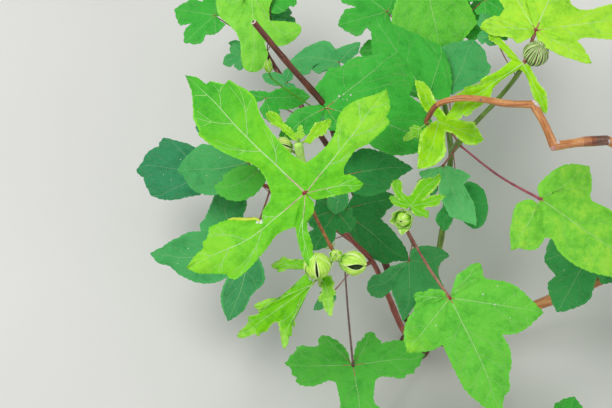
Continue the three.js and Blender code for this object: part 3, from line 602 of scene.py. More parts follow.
def linear(red, green, blue):
    """A colour told in 0 to 255 steps as shares of light: c / 12.92 when dark, a power of 2.4 above."""
    c = np.array([red, green, blue]) / 255
    return tuple(np.where(c <= 0.04045, c / 12.92, ((c + 0.055) / 1.055) ** 2.4)) + (1.0,)


def smooth(t):
    """Rises from 0 to 1 as t does, level at both ends: 3t squared less 2t cubed."""
    t = np.clip(t, 0, 1)
    return t * t * (3 - 2 * t)


def radians(degrees):
    """Degrees as radians, by pi over 180."""
    return np.radians(np.asarray(degrees, float))


def unit(v):
    """v divided by its own length, row by row."""
    return v / np.maximum(np.linalg.norm(v, axis=-1, keepdims=True), 1e-12)


class Path:
    """A smooth curve through points, found at shares of its length.

    Between two points it is the centripetal Catmull-Rom cubic: the spacing of its knots is the
    square root of the distance between neighbours, and both ends are drawn on by reflection. Where
    corners is set, a point at which the way turns by more than CORNER_TURN degrees stays sharp, so
    the curve is made of stretches that end there.
    """

    def __init__(self, points, corners=False):
        p = np.asarray(points, float)
        cuts = [0, len(p) - 1]
        if corners and len(p) > 2:
            way = unit(np.diff(p, axis=0))
            turn = np.degrees(np.arccos(np.clip((way[1:] * way[:-1]).sum(1), -1, 1)))
            cuts = [0, *(np.nonzero(turn > CORNER_TURN)[0] + 1), len(p) - 1]
        parts = [self.stretch(p[a:b + 1]) for a, b in zip(cuts, cuts[1:])]
        self.points = np.vstack([parts[0]] + [part[1:] for part in parts[1:]])
        steps = np.linalg.norm(np.diff(self.points, axis=0), axis=1)
        run = np.concatenate([[0], np.cumsum(steps)])
        self.length = run[-1]
        self.share = run / max(run[-1], 1e-9)

    def stretch(self, p):
        """Points along the curve through p, CURVE_STEPS steps between one and the next."""
        p = np.vstack([2 * p[0] - p[1], p, 2 * p[-1] - p[-2]])
        knot = np.maximum(np.linalg.norm(np.diff(p, axis=0), axis=1) ** 0.5, 1e-4)
        w = np.linspace(0, 1, CURVE_STEPS + 1)[:, None]
        rows = []
        for i in range(1, len(p) - 2):
            before, span, after = knot[i - 1], knot[i], knot[i + 1]
            step = (p[i + 1] - p[i]) / span
            into = (p[i] - p[i - 1]) / before - (p[i + 1] - p[i - 1]) / (before + span) + step
            away = step - (p[i + 2] - p[i]) / (span + after) + (p[i + 2] - p[i + 1]) / after
            into, away = into * span, away * span
            a = 2 * p[i] - 2 * p[i + 1] + into + away
            b = -3 * p[i] + 3 * p[i + 1] - 2 * into - away
            rows.append(((a * w + b) * w + into) * w + p[i])
        return np.vstack([rows[0]] + [r[1:] for r in rows[1:]])

    def at(self, share):
        """Points at these shares of the curve's length."""
        share = np.asarray(share, float)
        return np.stack([np.interp(share, self.share, c) for c in self.points.T], -1)

    def along(self, share):
        """Unit directions at these shares of the length: the way from just before to just after."""
        share = np.asarray(share, float)
        return unit(self.at(np.clip(share + 0.01, 0, 1)) - self.at(np.clip(share - 0.01, 0, 1)))


# The materials by name, which main fills in.
FINISHES = {}


class Draft:
    """Vertices, triangles and finishes gathered for one joined piece."""

    def __init__(self):
        self.verts, self.faces, self.marks, self.sharp, self.uvs = [], [], [], [], []
        self.finishes, self.count = [], 0

    def mark(self, finish):
        """The index of a finish in this piece, which gets a slot for it when it's new."""
        if finish not in self.finishes:
            self.finishes.append(finish)
        return self.finishes.index(finish)

    def marked(self, finish, at):
        """An index for each share of a run. finish is one name, or the shares where it changes and the
        names between them."""
        edges, names = ((), (finish,)) if isinstance(finish, str) else finish
        return np.array([self.mark(n) for n in names])[np.searchsorted(edges, at)]

    def add(self, verts, faces, finish, sharp=None, uv=None):
        """Adds a surface. finish is one name, or an array of indexes from mark, one a triangle."""
        marks = np.full(len(faces), self.mark(finish)) if isinstance(finish, str) else finish
        keep = (faces != np.roll(faces, 1, axis=1)).all(1)
        self.verts.append(verts)
        self.faces.append(faces[keep] + self.count)
        self.marks.append(marks[keep])
        self.uvs.append(np.zeros((len(verts), 2)) if uv is None else uv)
        if sharp is not None:
            self.sharp.append(sharp + self.count)
        self.count += len(verts)

    def piece(self, name, slot, solid):
        """Puts what was gathered into one mesh object in metres, which takes the place of a solid."""
        verts, faces = np.vstack(self.verts) * MM, np.vstack(self.faces)
        mesh = bpy.data.meshes.new(name)
        mesh.vertices.add(len(verts))
        mesh.vertices.foreach_set("co", verts.astype(np.float32).ravel())
        mesh.loops.add(faces.size)
        mesh.loops.foreach_set("vertex_index", faces.astype(np.int32).ravel())
        mesh.polygons.add(len(faces))
        mesh.polygons.foreach_set("loop_start", np.arange(0, faces.size, 3, dtype=np.int32))
        mesh.polygons.foreach_set("material_index", np.concatenate(self.marks).astype(np.int32))
        mesh.polygons.foreach_set("use_smooth", np.ones(len(faces), bool))
        uv = np.vstack(self.uvs)[faces]
        over = (np.ptp(uv[..., 0], axis=1) > 0.5)[:, None] & (uv[..., 0] < 0.5)
        uv[..., 0] += over
        mesh.uv_layers.new(name="along").data.foreach_set("uv", uv.astype(np.float32).ravel())
        mesh.update(calc_edges=True)
        if self.sharp:
            pairs = np.sort(np.vstack(self.sharp), axis=1)
            ends = np.zeros(len(mesh.edges) * 2, np.int32)
            mesh.edges.foreach_get("vertices", ends)
            ends = np.sort(ends.reshape(-1, 2), axis=1).astype(np.int64)
            hard = np.isin(ends[:, 0] * len(verts) + ends[:, 1], pairs[:, 0] * len(verts) + pairs[:, 1])
            mesh.attributes.new("sharp_edge", "BOOLEAN", "EDGE").data.foreach_set("value", hard)
        for finish in self.finishes:
            mesh.materials.append(FINISHES[finish])
        if mesh.validate():
            raise RuntimeError(f"{name} had unsound faces")
        obj = bpy.data.objects.new(name, mesh)
        bpy.context.scene.collection.objects.link(obj)
        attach(obj, "root")
        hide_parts(solid)


def grid_faces(rows, columns, wrap=False, flip=False):
    """Triangles of a grid of vertices told row by row: each square is cut along one diagonal."""
    i, j = np.meshgrid(np.arange(rows - 1), np.arange(columns if wrap else columns - 1), indexing="ij")
    k = (j + 1) % columns
    a, b, c, d = i * columns + j, (i + 1) * columns + j, (i + 1) * columns + k, i * columns + k
    faces = np.stack([a, b, c, a, c, d], -1).reshape(-1, 3)
    return faces[:, ::-1] if flip else faces


def grid_places(rows, columns):
    """The row and the column of each of a grid's triangles."""
    square = np.repeat(np.arange((rows - 1) * (columns - 1)), 2)
    return square // (columns - 1), square % (columns - 1)


def tube_faces(rings, sides, ends):
    """Triangles of a tube told ring by ring. One vertex more closes its start, and another its end."""
    around = np.arange(sides)
    after, count = (around + 1) % sides, rings * sides
    last = count - sides
    caps = [np.stack([after, around, np.full(sides, count)], 1),
            np.stack([last + around, last + after, np.full(sides, count + 1)], 1)]
    return np.vstack([grid_faces(rings, sides, wrap=True, flip=True), *caps[:ends]])


def turned(angle, side, other):
    """The way at an angle from one axis to another: cos a of the first plus sin a of the second."""
    return np.cos(angle)[..., None] * side + np.sin(angle)[..., None] * other


def carry(draft, path, radius, finish, sides=8, rings=24, shares=None, domed=True):
    """A ring carried along a path: centre plus radius times (cos a of one normal, sin a of the other).

    radius is a number, an array of one a ring, or a function of (angle, share) for relief. The
    normals are the cross products of the path's direction with the axis it turns to least. Each
    end is closed by one point, a little out where domed.
    """
    share = np.linspace(0, 1, rings) if shares is None else np.asarray(shares, float)
    centre, ahead = path.at(share), path.along(share)
    axis = np.eye(3)[np.argmin(np.abs(ahead).max(0))]
    side = unit(np.cross(ahead, axis))
    other = np.cross(ahead, side)
    angle = np.linspace(0, 2 * np.pi, sides, endpoint=False)
    a, s = np.meshgrid(angle, share)
    if callable(radius):
        r = radius(a, s)
    else:
        r = np.broadcast_to(np.asarray(radius, float), (len(share),))[:, None] * np.ones((1, sides))
    ring = centre[:, None] + r[..., None] * turned(a, side[:, None], other[:, None])
    dome = END_DOME if domed else 0
    ends = np.stack([centre[0] - ahead[0] * r[0].mean() * dome, centre[-1] + ahead[-1] * r[-1].mean() * dome])
    uv = np.vstack([np.stack([a / (2 * np.pi), s * path.length * MM], -1).reshape(-1, 2),
                    [[0.5, 0], [0.5, path.length * MM]]])
    between = np.repeat((share[1:] + share[:-1]) / 2, 2 * sides)
    marks = draft.marked(finish, np.concatenate([between, np.zeros(sides), np.ones(sides)]))
    draft.add(np.vstack([ring.reshape(-1, 3), ends]), tube_faces(len(share), sides, 2), marks, uv=uv)


def blade_frame(heading, tilt, roll):
    """The frame of a blade: out along its central lobe, across to its left, and up out of it."""
    turn, fall, lean = radians([heading, tilt, roll])
    out = np.array([np.cos(turn) * np.cos(fall), np.sin(turn) * np.cos(fall), -np.sin(fall)])
    left = np.array([-np.sin(turn), np.cos(turn), 0.0])
    left = left * np.cos(lean) + np.cross(out, left) * np.sin(lean)
    return out, left, np.cross(out, left)


def lobe_width(q, bay, widest):
    """A lobe's half-width from its bay to its tip: half a cosine up to the widest, then a pointed fall."""
    rise = bay + (widest - bay) * (0.5 - 0.5 * np.cos(np.pi * q / LOBE_WIDEST))
    on = np.clip(q - LOBE_WIDEST, 0, 1) / (1 - LOBE_WIDEST)
    fall = widest * (1 - on ** LOBE_FALL[0]) ** LOBE_FALL[1]
    return np.where(q <= LOBE_WIDEST, rise, fall)


def told_outline(form):
    """(right edge, left edge) of each lobe, bay to tip, from a listed outline."""
    rows = OUTLINES[form]
    plan = np.array([r[:2] for r in rows], float) / 100
    bays = [i for i, r in enumerate(rows) if r[2:] == (1,)]
    tips = [i for i, r in enumerate(rows) if r[2:] == (2,)]
    return [(plan[a:t + 1], plan[t:b + 1][::-1]) for a, t, b in zip(bays, tips, bays[1:])]


def ruled_outline(form):
    """(right edge, left edge) of each lobe, bay to tip, by the rule of angles, lengths and widths."""
    lobes, depths, notch = FORMS[form]
    half = (360 - lobes[-1][0] + lobes[0][0]) / 2
    angles = [lobes[0][0] - half * NOTCH_OPEN]
    angles += [(a[0] + b[0]) / 2 for a, b in zip(lobes, lobes[1:])] + [lobes[-1][0] + half * NOTCH_OPEN]
    reach = np.array([notch, *depths, notch])
    bays = np.stack([np.cos(radians(angles)) * reach, np.sin(radians(angles)) * reach], -1)
    q = np.linspace(0, 1, LOBE_POINTS)
    edges = []
    for i, (angle, length, width) in enumerate(lobes):
        along = np.array([np.cos(radians(angle)), np.sin(radians(angle))])
        across = np.array([-along[1], along[0]])
        sides = []
        for bay, sign in ((bays[i], -1), (bays[i + 1], 1)):
            start = bay @ along
            w = lobe_width(q, abs(bay @ across), width)
            s = start + (length - start) * q
            sides.append(s[:, None] * along + sign * w[:, None] * across)
        sides[0][0], sides[1][0] = bays[i], bays[i + 1]
        edges.append(tuple(sides))
    return edges


class Lobe:
    """One lobe of a blade, told by u, -1 at its right edge to 1 at its left, and v out from the junction.

    The point at (u, v) lies between the rib and the edge in proportion to |u|. Below the base
    share the edge is the straight ray to the bay, so neighbours meet there, and beyond it the
    toothed outline. A tooth is a rounded sine of the lean power of its run, and depths vary as the
    square of a sine.
    """

    def __init__(self, edges, size, habit, random):
        self.bays = [e[0] * size for e in edges]
        right, left = (Path(np.column_stack([e, np.zeros(len(e))]) * size, corners=True) for e in edges)
        self.length = np.linalg.norm(edges[0][-1]) * size
        middle = (right.at(RIB_THROUGH) + left.at(RIB_THROUGH)) / 2
        self.rib = Path(np.vstack([[0, 0, 0], middle, right.at(1.0)]))
        along = unit(edges[0][-1])
        share = sum(float(b @ along) for b in self.bays) / 2 / self.rib.length
        self.base = min(max(share, LEAST_BASE * size / self.length), MOST_BASE)
        self.edges = []
        self.q = np.linspace(0, 1, EDGE_STEPS + 1)
        for sign, path in ((-1, right), (1, left)):
            run = self.q * path.length / habit.pitch
            run = run + TOOTH_WANDER * np.sin(run * 1.7 + random.uniform(0, 6)) + random.uniform(0, 1)
            rise = np.sin(np.pi * (run % 1) ** habit.lean) ** TOOTH_ROUND - TOOTH_BAY
            depth = habit.tooth * (0.7 + 0.6 * np.sin(np.floor(run) * 2.4 + random.uniform(0, 6)) ** 2)
            reach = smooth(self.q / TOOTH_FADE[0]) * smooth((1 - self.q) / TOOTH_FADE[1])
            ahead = path.along(self.q)
            outward = sign * np.stack([-ahead[:, 1], ahead[:, 0]], -1)
            self.edges.append((path.at(self.q)[:, :2], outward * (rise * depth * reach)[:, None]))
        self.edge_length = max(right.length, left.length)
        rib = self.rib.at(self.base + (1 - self.base) * self.q)[:, :2]
        self.widths = [np.linalg.norm(edge - rib, axis=1) for edge, _ in self.edges]
        self.veins = habit.veins * (0.45 + 0.55 * self.length / size)
        self.phase = random.uniform(0, 1)

    def flat(self, u, v):
        """Plan points, the half-width there and the share of the way from the bays to the tip."""
        q = np.clip((v - self.base) / (1 - self.base), 0, 1)
        a = np.clip(v / self.base, 0, 1)[..., None]
        rib = self.rib.at(v)[..., :2]
        out, width = [], []
        for side, (edge, teeth) in enumerate(self.edges):
            at = np.stack([np.interp(q, self.q, c) for c in edge.T], -1)
            bite = np.stack([np.interp(q, self.q, c) for c in teeth.T], -1)
            at = np.where(a < 1, self.bays[side] * a, at)
            bite = np.where(a < 1, 0, bite) * (np.abs(u) ** 5)[..., None]
            out.append(rib + (at - rib) * np.abs(u)[..., None] + bite)
            width.append(np.interp(q, self.q, self.widths[side]))
        left = (u > 0)[..., None]
        return np.where(left, out[1], out[0]), np.where(left[..., 0], width[1], width[0]), q


class Blade:
    """A lobed blade lifted from its plan into an arched, folded, puffed and ruffled sheet."""

    def __init__(self, form, size, junction, heading, tilt, roll, shade, seed):
        self.size, self.habit, self.form = size, HABITS[shade], form
        self.origin = np.array(junction, float)
        self.out, self.left, self.up = blade_frame(heading, tilt, roll)
        random = np.random.default_rng(seed)
        edges = told_outline(form) if form in OUTLINES else ruled_outline(form)
        self.lobes = [Lobe(e, size, self.habit, random) for e in edges]

    def place(self, lobe, u, v):
        """Points in space. The height above the plan is less a fold that grows from the rib to the
        edge, less an arch as the square of the distance from the junction, plus puffs between
        side veins, half a cosine each, plus a sine ruffle that grows as |u| cubed."""
        u, v = np.broadcast_arrays(np.asarray(u, float), np.asarray(v, float))
        plan, width, q = lobe.flat(u, v)
        h, size, side = self.habit, self.size, np.abs(u)
        ease = smooth(q / FOLD_EASE)
        near = BAY_FOLD * size * np.clip(v / lobe.base, 0, 1)
        fold = (near * (1 - ease) + h.fold * width * ease) * side ** FOLD_CURVE
        swept = v - h.run * width / lobe.length * side ** VEIN_SWEEP
        turn = 2 * np.pi * (lobe.veins * swept + np.where(u > 0, 0.5, 0))
        puff = h.puff * size * (0.5 - 0.5 * np.cos(turn)) * np.sin(np.pi * side ** 0.8) * smooth(v / 0.15)
        ruffle = h.ruffle * size * np.sin(turn * 0.5 + PHASES * lobe.phase) * side ** 3
        ruffle *= smooth(q / 0.3) * smooth((1 - q) / 0.2)
        lift = puff + ruffle - fold - h.arch * (plan ** 2).sum(-1) / size
        flat = self.origin + plan[..., :1] * self.out + plan[..., 1:] * self.left
        return flat + lift[..., None] * self.up

    def on_face(self, lobe, u, v):
        """Points on the sheet's own facets: between the corners of the triangle that holds (u, v)."""
        us, vs, points = lobe.grid
        i = np.interp(v, vs, np.arange(len(vs)))
        j = np.interp(u, us, np.arange(len(us)))
        a, b = np.minimum(i.astype(int), len(vs) - 2), np.minimum(j.astype(int), len(us) - 2)
        i, j = (i - a)[..., None], (j - b)[..., None]
        near, far = points[a, b], points[a + 1, b + 1]
        corner = np.where(i >= j, points[a + 1, b], points[a, b + 1])
        return near + np.maximum(i, j) * (corner - near) + np.minimum(i, j) * (far - corner)

    def spot(self, x, y):
        """The vertex of the face that lies nearest to (x, y) of the plan, told as shares of the size."""
        points = np.vstack([lobe.grid[2].reshape(-1, 3) for lobe in self.lobes])
        plan = np.stack([(points - self.origin) @ self.out, (points - self.origin) @ self.left], -1)
        return points[np.argmin(((plan - np.array([x, y]) * self.size) ** 2).sum(-1))]


def grid_rim(rows, columns):
    """The four edges of a grid, in the order that goes round it."""
    line = np.arange(rows) * columns
    across = np.arange(columns)
    return [line, (rows - 1) * columns + across, line[::-1] + columns - 1, across[::-1]]


def close_sheet(draft, top, faces, marks, rims, drop, rim_finish, back_finish, flip=False):
    """Gives a sheet a back and a rim, after welding its doubled vertices: the back is top plus drop."""
    _, first, back = np.unique(np.round(top, 5), axis=0, return_index=True, return_inverse=True)
    back = back.ravel()
    drop = np.broadcast_to(drop, top.shape)[first]
    top, faces, n = top[first], back[faces], len(first)
    pairs = np.vstack([np.stack([back[r[:-1]], back[r[1:]]], 1) for r in rims])
    a, b = (pairs[:, ::-1] if flip else pairs).T
    walls = np.vstack([np.stack([a, a + n, b + n], 1), np.stack([a, b + n, b], 1)])
    marks = np.concatenate([marks, np.full(len(faces), draft.mark(back_finish)),
                            np.full(len(walls), draft.mark(rim_finish))])
    draft.add(np.vstack([top, top + drop]), np.vstack([faces, faces[:, ::-1] + n, walls]), marks,
              sharp=np.vstack([pairs, pairs + n]))


def sheet(draft, blade, shade, thickness):
    """A blade's two faces and its rim: one grid a lobe, welded along the rays between lobes."""
    tops, faces, marks, rim = [], [], [], []
    count = 0
    edge, face = draft.mark(shade + "_edge"), draft.mark(shade)
    for k, lobe in enumerate(blade.lobes):
        step = min(blade.habit.pitch / ROWS_A_TOOTH, LONGEST_ROW)
        rows = int(np.clip(lobe.edge_length / step, *ROW_LIMITS))
        half = int(np.clip(lobe.length * HALF_LOBE / COLUMN_WIDTH, *COLUMN_LIMITS))
        v = np.concatenate([lobe.base * np.arange(FAN_ROWS) / FAN_ROWS,
                            lobe.base + (1 - lobe.base) * np.arange(rows + 1) / rows])
        u = 1 - (1 - np.arange(half + 1) / half) ** COLUMN_CROWD
        u = np.concatenate([-u[:0:-1], u])
        vv, uu = np.meshgrid(v, u, indexing="ij")
        lobe.grid = (u, v, blade.place(lobe, uu, vv))
        tops.append(lobe.grid[2].reshape(-1, 3))
        columns = len(u)
        faces.append(grid_faces(len(v), columns) + count)
        row, column = grid_places(len(v), columns)
        outer = ((column == 0) | (column == columns - 2)) & (row >= FAN_ROWS)
        inner = np.full(len(row), face)
        if k in LOBE_TINTS.get(blade.form, {}):
            tint, begin, full = LOBE_TINTS[blade.form][k]
            marked = np.array([face] + [draft.mark(f"{shade}_{tint}{n + 1}") for n in range(TINT_STEPS)])
            along = ((row - FAN_ROWS) / rows - begin) / (full - begin)
            inner = marked[np.clip(along * TINT_STEPS + 0.5, 0, TINT_STEPS).astype(int)]
        marks.append(np.where(outer, edge, inner))
        line = np.arange(len(v)) * columns + count
        right, left = line, line + columns - 1
        if k > 0:
            right = right[FAN_ROWS:]
        if k < len(blade.lobes) - 1:
            left = left[FAN_ROWS:]
        rim += [right, left[::-1]]
        count += len(v) * columns
    close_sheet(draft, np.vstack(tops), np.vstack(faces), np.concatenate(marks), rim,
                -blade.up * thickness, shade + "_edge", shade + "_under")


def ridge(draft, points, up, width, height, depth, finish):
    """A vein: a four-sided bar along points on a blade, its crest above the face and its keel below.

    The sides stand off by the cross product of up with the way ahead, times half the width.
    """
    ahead = unit(np.gradient(points, axis=0))
    side = unit(np.cross(up, ahead)) * width[:, None]
    depth = np.broadcast_to(depth, width.shape)
    crest, keel = points + up * height[:, None], points - up * depth[:, None]
    ring = np.stack([points + side, crest, points - side, keel], 1)
    rows = len(points)
    last = (rows - 1) * 4
    caps = np.array([[2, 1, 0], [3, 2, 0], [last + 1, last + 2, last], [last + 2, last + 3, last]])
    at = np.concatenate([np.repeat((np.arange(rows - 1) + 0.5) / (rows - 1), 8), [0, 0, 1, 1]])
    draft.add(ring.reshape(-1, 3), np.vstack([grid_faces(rows, 4, wrap=True, flip=True), caps]),
              draft.marked(finish, at))


def veins(draft, blade, shade, settings):
    """Ribs down every lobe, flushed red near the junction, and side veins off both sides of each.

    A side vein leaves its rib at v0 and runs to v0 + k w |u| to the 1.35, where w is the half-width
    that it crosses as a share of the lobe, so that it bends to the tip as it nears the edge. On the
    larger lobes a branch leaves it half-way out, and leans less.
    """
    size, habit, thickness = blade.size, blade.habit, settings.thickness / MM

    def side_vein(lobe, sign, start, first, last, lean, breadth):
        t = np.linspace(first, last, SIDE_POINTS)
        out = start + 0 * t
        for _ in range(4):
            wide = lobe.flat(sign * t, out)[1] / lobe.length
            out = np.clip(start + lean * wide * (t ** VEIN_SWEEP - first ** VEIN_SWEEP), 0, 0.99)
        fade = 1 - 0.65 * (t - first) / (1 - first)
        width = size * settings.rib_width * breadth * fade * (1 - 0.4 * start)
        width = np.maximum(width, THINNEST_VEIN)
        ridge(draft, blade.on_face(lobe, sign * t, out), blade.up, width, width * 0.4 + 0.1,
              thickness * 0.5, shade + "_vein")
        return np.interp(BRANCH_AT, t, out)

    for lobe in blade.lobes:
        v = np.linspace(0.0, 0.985, RIB_POINTS)
        line = blade.on_face(lobe, 0 * v, v)
        taper = (1 - v) ** 0.7
        grown = 0.55 + 0.45 * lobe.length / size
        width = np.maximum(size * settings.rib_width * 0.5 * taper * grown, THINNEST_RIB)
        reach = size / lobe.length
        flush = ("vein_red", NEAR_OF.get(shade, "vein_pink"), shade + "_rib")
        ridge(draft, line, blade.up, width, width * 0.42 + 0.05, thickness + width * 0.9,
              ((habit.red * reach, habit.pink * reach), flush))
        for sign in (-1, 1):
            first = np.ceil(lobe.veins * max(lobe.base * 0.5, 0.12))
            for k in np.arange(first, lobe.veins * 0.93):
                start = (k + (0.5 if sign > 0 else 0)) / lobe.veins
                if start > 0.9:
                    continue
                half_way = side_vein(lobe, sign, start, 0.0, 0.94, habit.run, 0.3)
                if size > BRANCHED_BLADE and lobe.length > BRANCHED_LOBE * size and start < 0.75:
                    side_vein(lobe, sign, half_way, BRANCH_AT, 0.92, 0.2 * habit.run, 0.2)
                    side_vein(lobe, sign, half_way, BRANCH_AT, 0.8, 2.2 * habit.run, 0.16)
    for k, side, start, end in ROLLED_EDGES.get(blade.form, ()):
        lobe = blade.lobes[k]
        v = lobe.base + (1 - lobe.base) * np.linspace(start, end, ROLL_POINTS)
        rolled = 1.7 * np.sin(np.pi * np.linspace(0.08, 1, ROLL_POINTS)) ** 0.5 + 0.2
        line = blade.on_face(lobe, side * 0.99 + 0 * v, v)
        ridge(draft, line, blade.up, rolled, rolled, rolled * 0.5, "edge_rolled")
    for x, y, breadth in SPECKS.get(blade.form, ()):
        spot = blade.spot(x / 100, y / 100)
        dome(draft, spot, blade.up, breadth, breadth * 0.45, "speck", sides=7, rings=3)


def dome(draft, centre, up, radius, height, finish, sides=10, rings=5):
    """A low dome: rings of radius r sin t at height h cos t, t from a quarter turn to 0."""
    side = unit(np.cross(up, [0.31, 0.77, 0.55]))
    other = np.cross(up, side)
    t = np.linspace(np.pi / 2, 0, rings)[:, None]
    a = np.linspace(0, 2 * np.pi, sides, endpoint=False)[None]
    points = centre + (radius * np.sin(t))[..., None] * turned(a, side, other)
    points = points + (height * np.cos(t))[..., None] * up
    verts = np.vstack([points.reshape(-1, 3), centre - up * height * 0.6])
    draft.add(verts, tube_faces(rings, sides, 1), finish)


def lancet(draft, root, ahead, up, length, width, finish, rim):
    """A narrow pointed leaflet: half-width w sin(pi t to the 0.75), bending up as t squared, its two
    sides folded up a little and of the rim's finish."""
    t = np.linspace(0, 1, LANCET_ROWS)[:, None]
    w = np.linspace(-1, 1, LANCET_COLUMNS)[None]
    across = unit(np.cross(up, ahead))
    half = width * np.sin(np.pi * (0.06 + 0.94 * t) ** 0.75)
    top = root + (t * length * np.ones_like(w))[..., None] * ahead + (half * w)[..., None] * across \
        + (LANCET_CURL * length * t ** 2 + 0.25 * half * w ** 2)[..., None] * up
    column = grid_places(LANCET_ROWS, LANCET_COLUMNS)[1]
    outer = (column == 0) | (column == LANCET_COLUMNS - 2)
    marks = np.where(outer, draft.mark(rim), draft.mark(finish))
    close_sheet(draft, top.reshape(-1, 3), grid_faces(LANCET_ROWS, LANCET_COLUMNS), marks,
                grid_rim(LANCET_ROWS, LANCET_COLUMNS), -up * LANCET_THICKNESS, rim, finish)


def beside(stem, on, turn, reach, rise):
    """The point that lies reach away from a stem's point, at an angle round it, and rise above it."""
    return stem.at(on) + [reach * math.cos(radians(turn)), reach * math.sin(radians(turn)), rise]


def leaves_by_rule(stem, rule):
    """Leaves round a stem: each turned by the golden share of the spread, sized by a chain of numbers."""
    count, size, outward, spread, seed, shade = rule
    state, leaves = seed, []

    def step():
        nonlocal state
        state = state * CHAIN_TIMES % CHAIN_SPAN
        return state / CHAIN_SPAN

    for i in range(count):
        on = 0.3 + 0.66 * i / (count - 1)
        turn = outward + spread * (2 * ((i * GOLDEN_SHARE + 0.3) % 1) - 1)
        length = size * (0.82 + 0.36 * step())
        reach = length * (0.85 + 0.3 * step())
        rise = length * (0.1 + 0.4 * step())
        place = beside(stem, on, turn, reach, rise)
        turn, tilt, roll = turn + 24 * (step() - 0.5), 10 + 14 * step(), 16 * (step() - 0.5)
        leaves.append(("wide", length, place, turn, tilt, roll, on, shade, "pink"))
    return leaves


def fine_leaves(stem, fine):
    """Small leaves round a mass's own stem, by the same rule of turn, reach and rise, within it."""
    count, size, outward, spread, shade, seed = fine
    random = np.random.default_rng(seed)
    leaves = []
    for i in range(count):
        on = 0.12 + 0.8 * i / max(count - 1, 1)
        turn = outward + spread * (2 * ((i * GOLDEN_SHARE + 0.55) % 1) - 1)
        length = size * random.uniform(0.7, 1.25)
        reach = length * random.uniform(0.9, 1.5)
        rise = length * random.uniform(-0.15, 0.35)
        place = beside(stem, on, turn, reach, rise)
        form = ("spoon", "shield", "wide")[i % 3]
        turn, tilt, roll = turn + random.uniform(-20, 20), random.uniform(4, 22), random.uniform(-10, 10)
        leaves.append((form, length, place, turn, tilt, roll, on, shade, "pink"))
    return leaves


def mass_leaves(name):
    """A mass's stem and all its leaves: told one by one, by the rule, finer ones and further ones."""
    mass = MASSES[name]
    stem = Path(mass["stem"])
    leaves = list(mass["leaves"])
    if "rule" in mass:
        leaves += leaves_by_rule(stem, mass["rule"])
    leaves += fine_leaves(stem, FINE[name])
    return stem, leaves + FURTHER.get(name, [])


def stalk(draft, stem, leaf, sizes):
    """A leaf's stalk: foot, a middle point lowered by a tenth of the span, and the junction. It widens
    evenly to the blade, swells at both ends by s exp(-(distance / width) squared), and, unless it is
    green, is flushed red where the blade joins."""
    _, size, place, heading, tilt, roll, on, _, colour = leaf
    out, _, up = blade_frame(heading, tilt, roll)
    foot, end = stem.at(on), np.array(place, float) + out * STALK_SINK * size - up * 0.5
    middle = (foot + end) / 2 - [0, 0, STALK_SAG * np.linalg.norm(end - foot)]
    path = Path([foot, middle, end])
    radius = max(THINNEST_STALK, STALK_RADIUS * size) * sizes.stalk_share
    share = np.linspace(0, 1, STALK_RINGS)
    run = share * path.length
    swell = 0.8 + 0.35 * share + 0.5 * np.exp(-(run / (3 * radius)) ** 2)
    swell += 0.4 * np.exp(-((path.length - run) / (3.5 * radius)) ** 2)
    flushed = 1 - min(0.3, 1.5 * radius / path.length)
    end_finish = "stalk_green" if colour == "green" else "vein_red"
    carry(draft, path, radius * swell, ((flushed,), ("stalk_" + colour, end_finish)), shares=share)
    ahead = path.along(0.05)
    across = unit(np.cross(ahead, [0, 0, 1.0]))
    up = unit(np.cross(ahead, across))
    for sign in (-1, 1):
        lancet(draft, foot + sign * across * radius, unit(ahead * 0.7 + sign * across), up,
               max(2.2, radius * 3), max(0.4, radius * 0.4), "stipule", "stipule")


# The columns across a sepal that are drawn in the second colour.
STRIPES = {"bud_line": (3, 8, 13, 18), "bud_stripe": (1, 2, 5, 8, 9, 12, 14, 17, 18, 20)}

# Profiles of buds, from base to top: distance from the axis and height, as shares of the half-width.
BUD_FORMS = {
    "onion": [(0, -1.35), (.4, -1.1), (.88, -.5), (1, .05), (.8, .5), (.36, .85), (0, 1.0)],
    "egg": [(0, -1.15), (.62, -.85), (1, -.1), (.82, .6), (.3, 1.1), (0, 1.35)],
}

# Each kind of bud: its form and how slender it is; its mouth's long and short half-widths as shares of
# the bud's; how narrow its sepals end, and how many columns their rims take; its bracts' count, length,
# width and splay; its bracts', face's, lines' and neck's finish. Where a seam stands open: its gap in
# degrees, the way it faces, where it starts and ends on the way up, and how late it is widest.
BudKind = namedtuple(
    "BudKind", "form slender mouth tip rim bracts bract face lines neck gap seam span late",
    defaults=("bract", "bud_pale", "bud_line", "stalk_green", 0, (0, -0.5, 0.85), (0.3, 0.9), 1))
BUD_KINDS = {
    "slit": BudKind("onion", 1, (0.05, 0.04), 0.8, 2, (5, 1.3, 0.3, 1.3),
                    gap=6, seam=(0, -0.8, 0.6), span=(0.36, 0.97), late=1.2),
    "side": BudKind("onion", 0.9, (0.06, 0.05), 0.8, 3, (5, 1.2, 0.25, 1.3), face="bud_cream",
                    gap=6, seam=(0, -0.1, 1.0), span=(0.3, 0.92)),
    "open": BudKind("onion", 0.88, (0.12, 0.1), 0.8, 2, (5, 1.1, 0.26, 1.3),
                    gap=24, seam=(0.2, -0.56, 0.8), span=(0.44, 0.99), late=1.9),
    "small": BudKind("egg", 0.8, (0.08, 0.06), 0.6, 3, (5, 2.0, 0.5, 0.7), "bract_pale"),
    "tip": BudKind("egg", 0.6, (0.14, 0.1), 0.6, 2, (3, 1.6, 0.4, 0.8), face="bract", neck="stalk_deep"),
    "striped": BudKind("egg", 1, (0.12, 0.08), 0.7, 1, (4, 1.2, 0.2, 1.3),
                       face="bud_stone", lines="bud_stripe"),
    "leafy": BudKind("egg", 0.72, (0.12, 0.08), 0.7, 3, (8, 2.3, 0.72, 0.72), "bract_pale"),
}


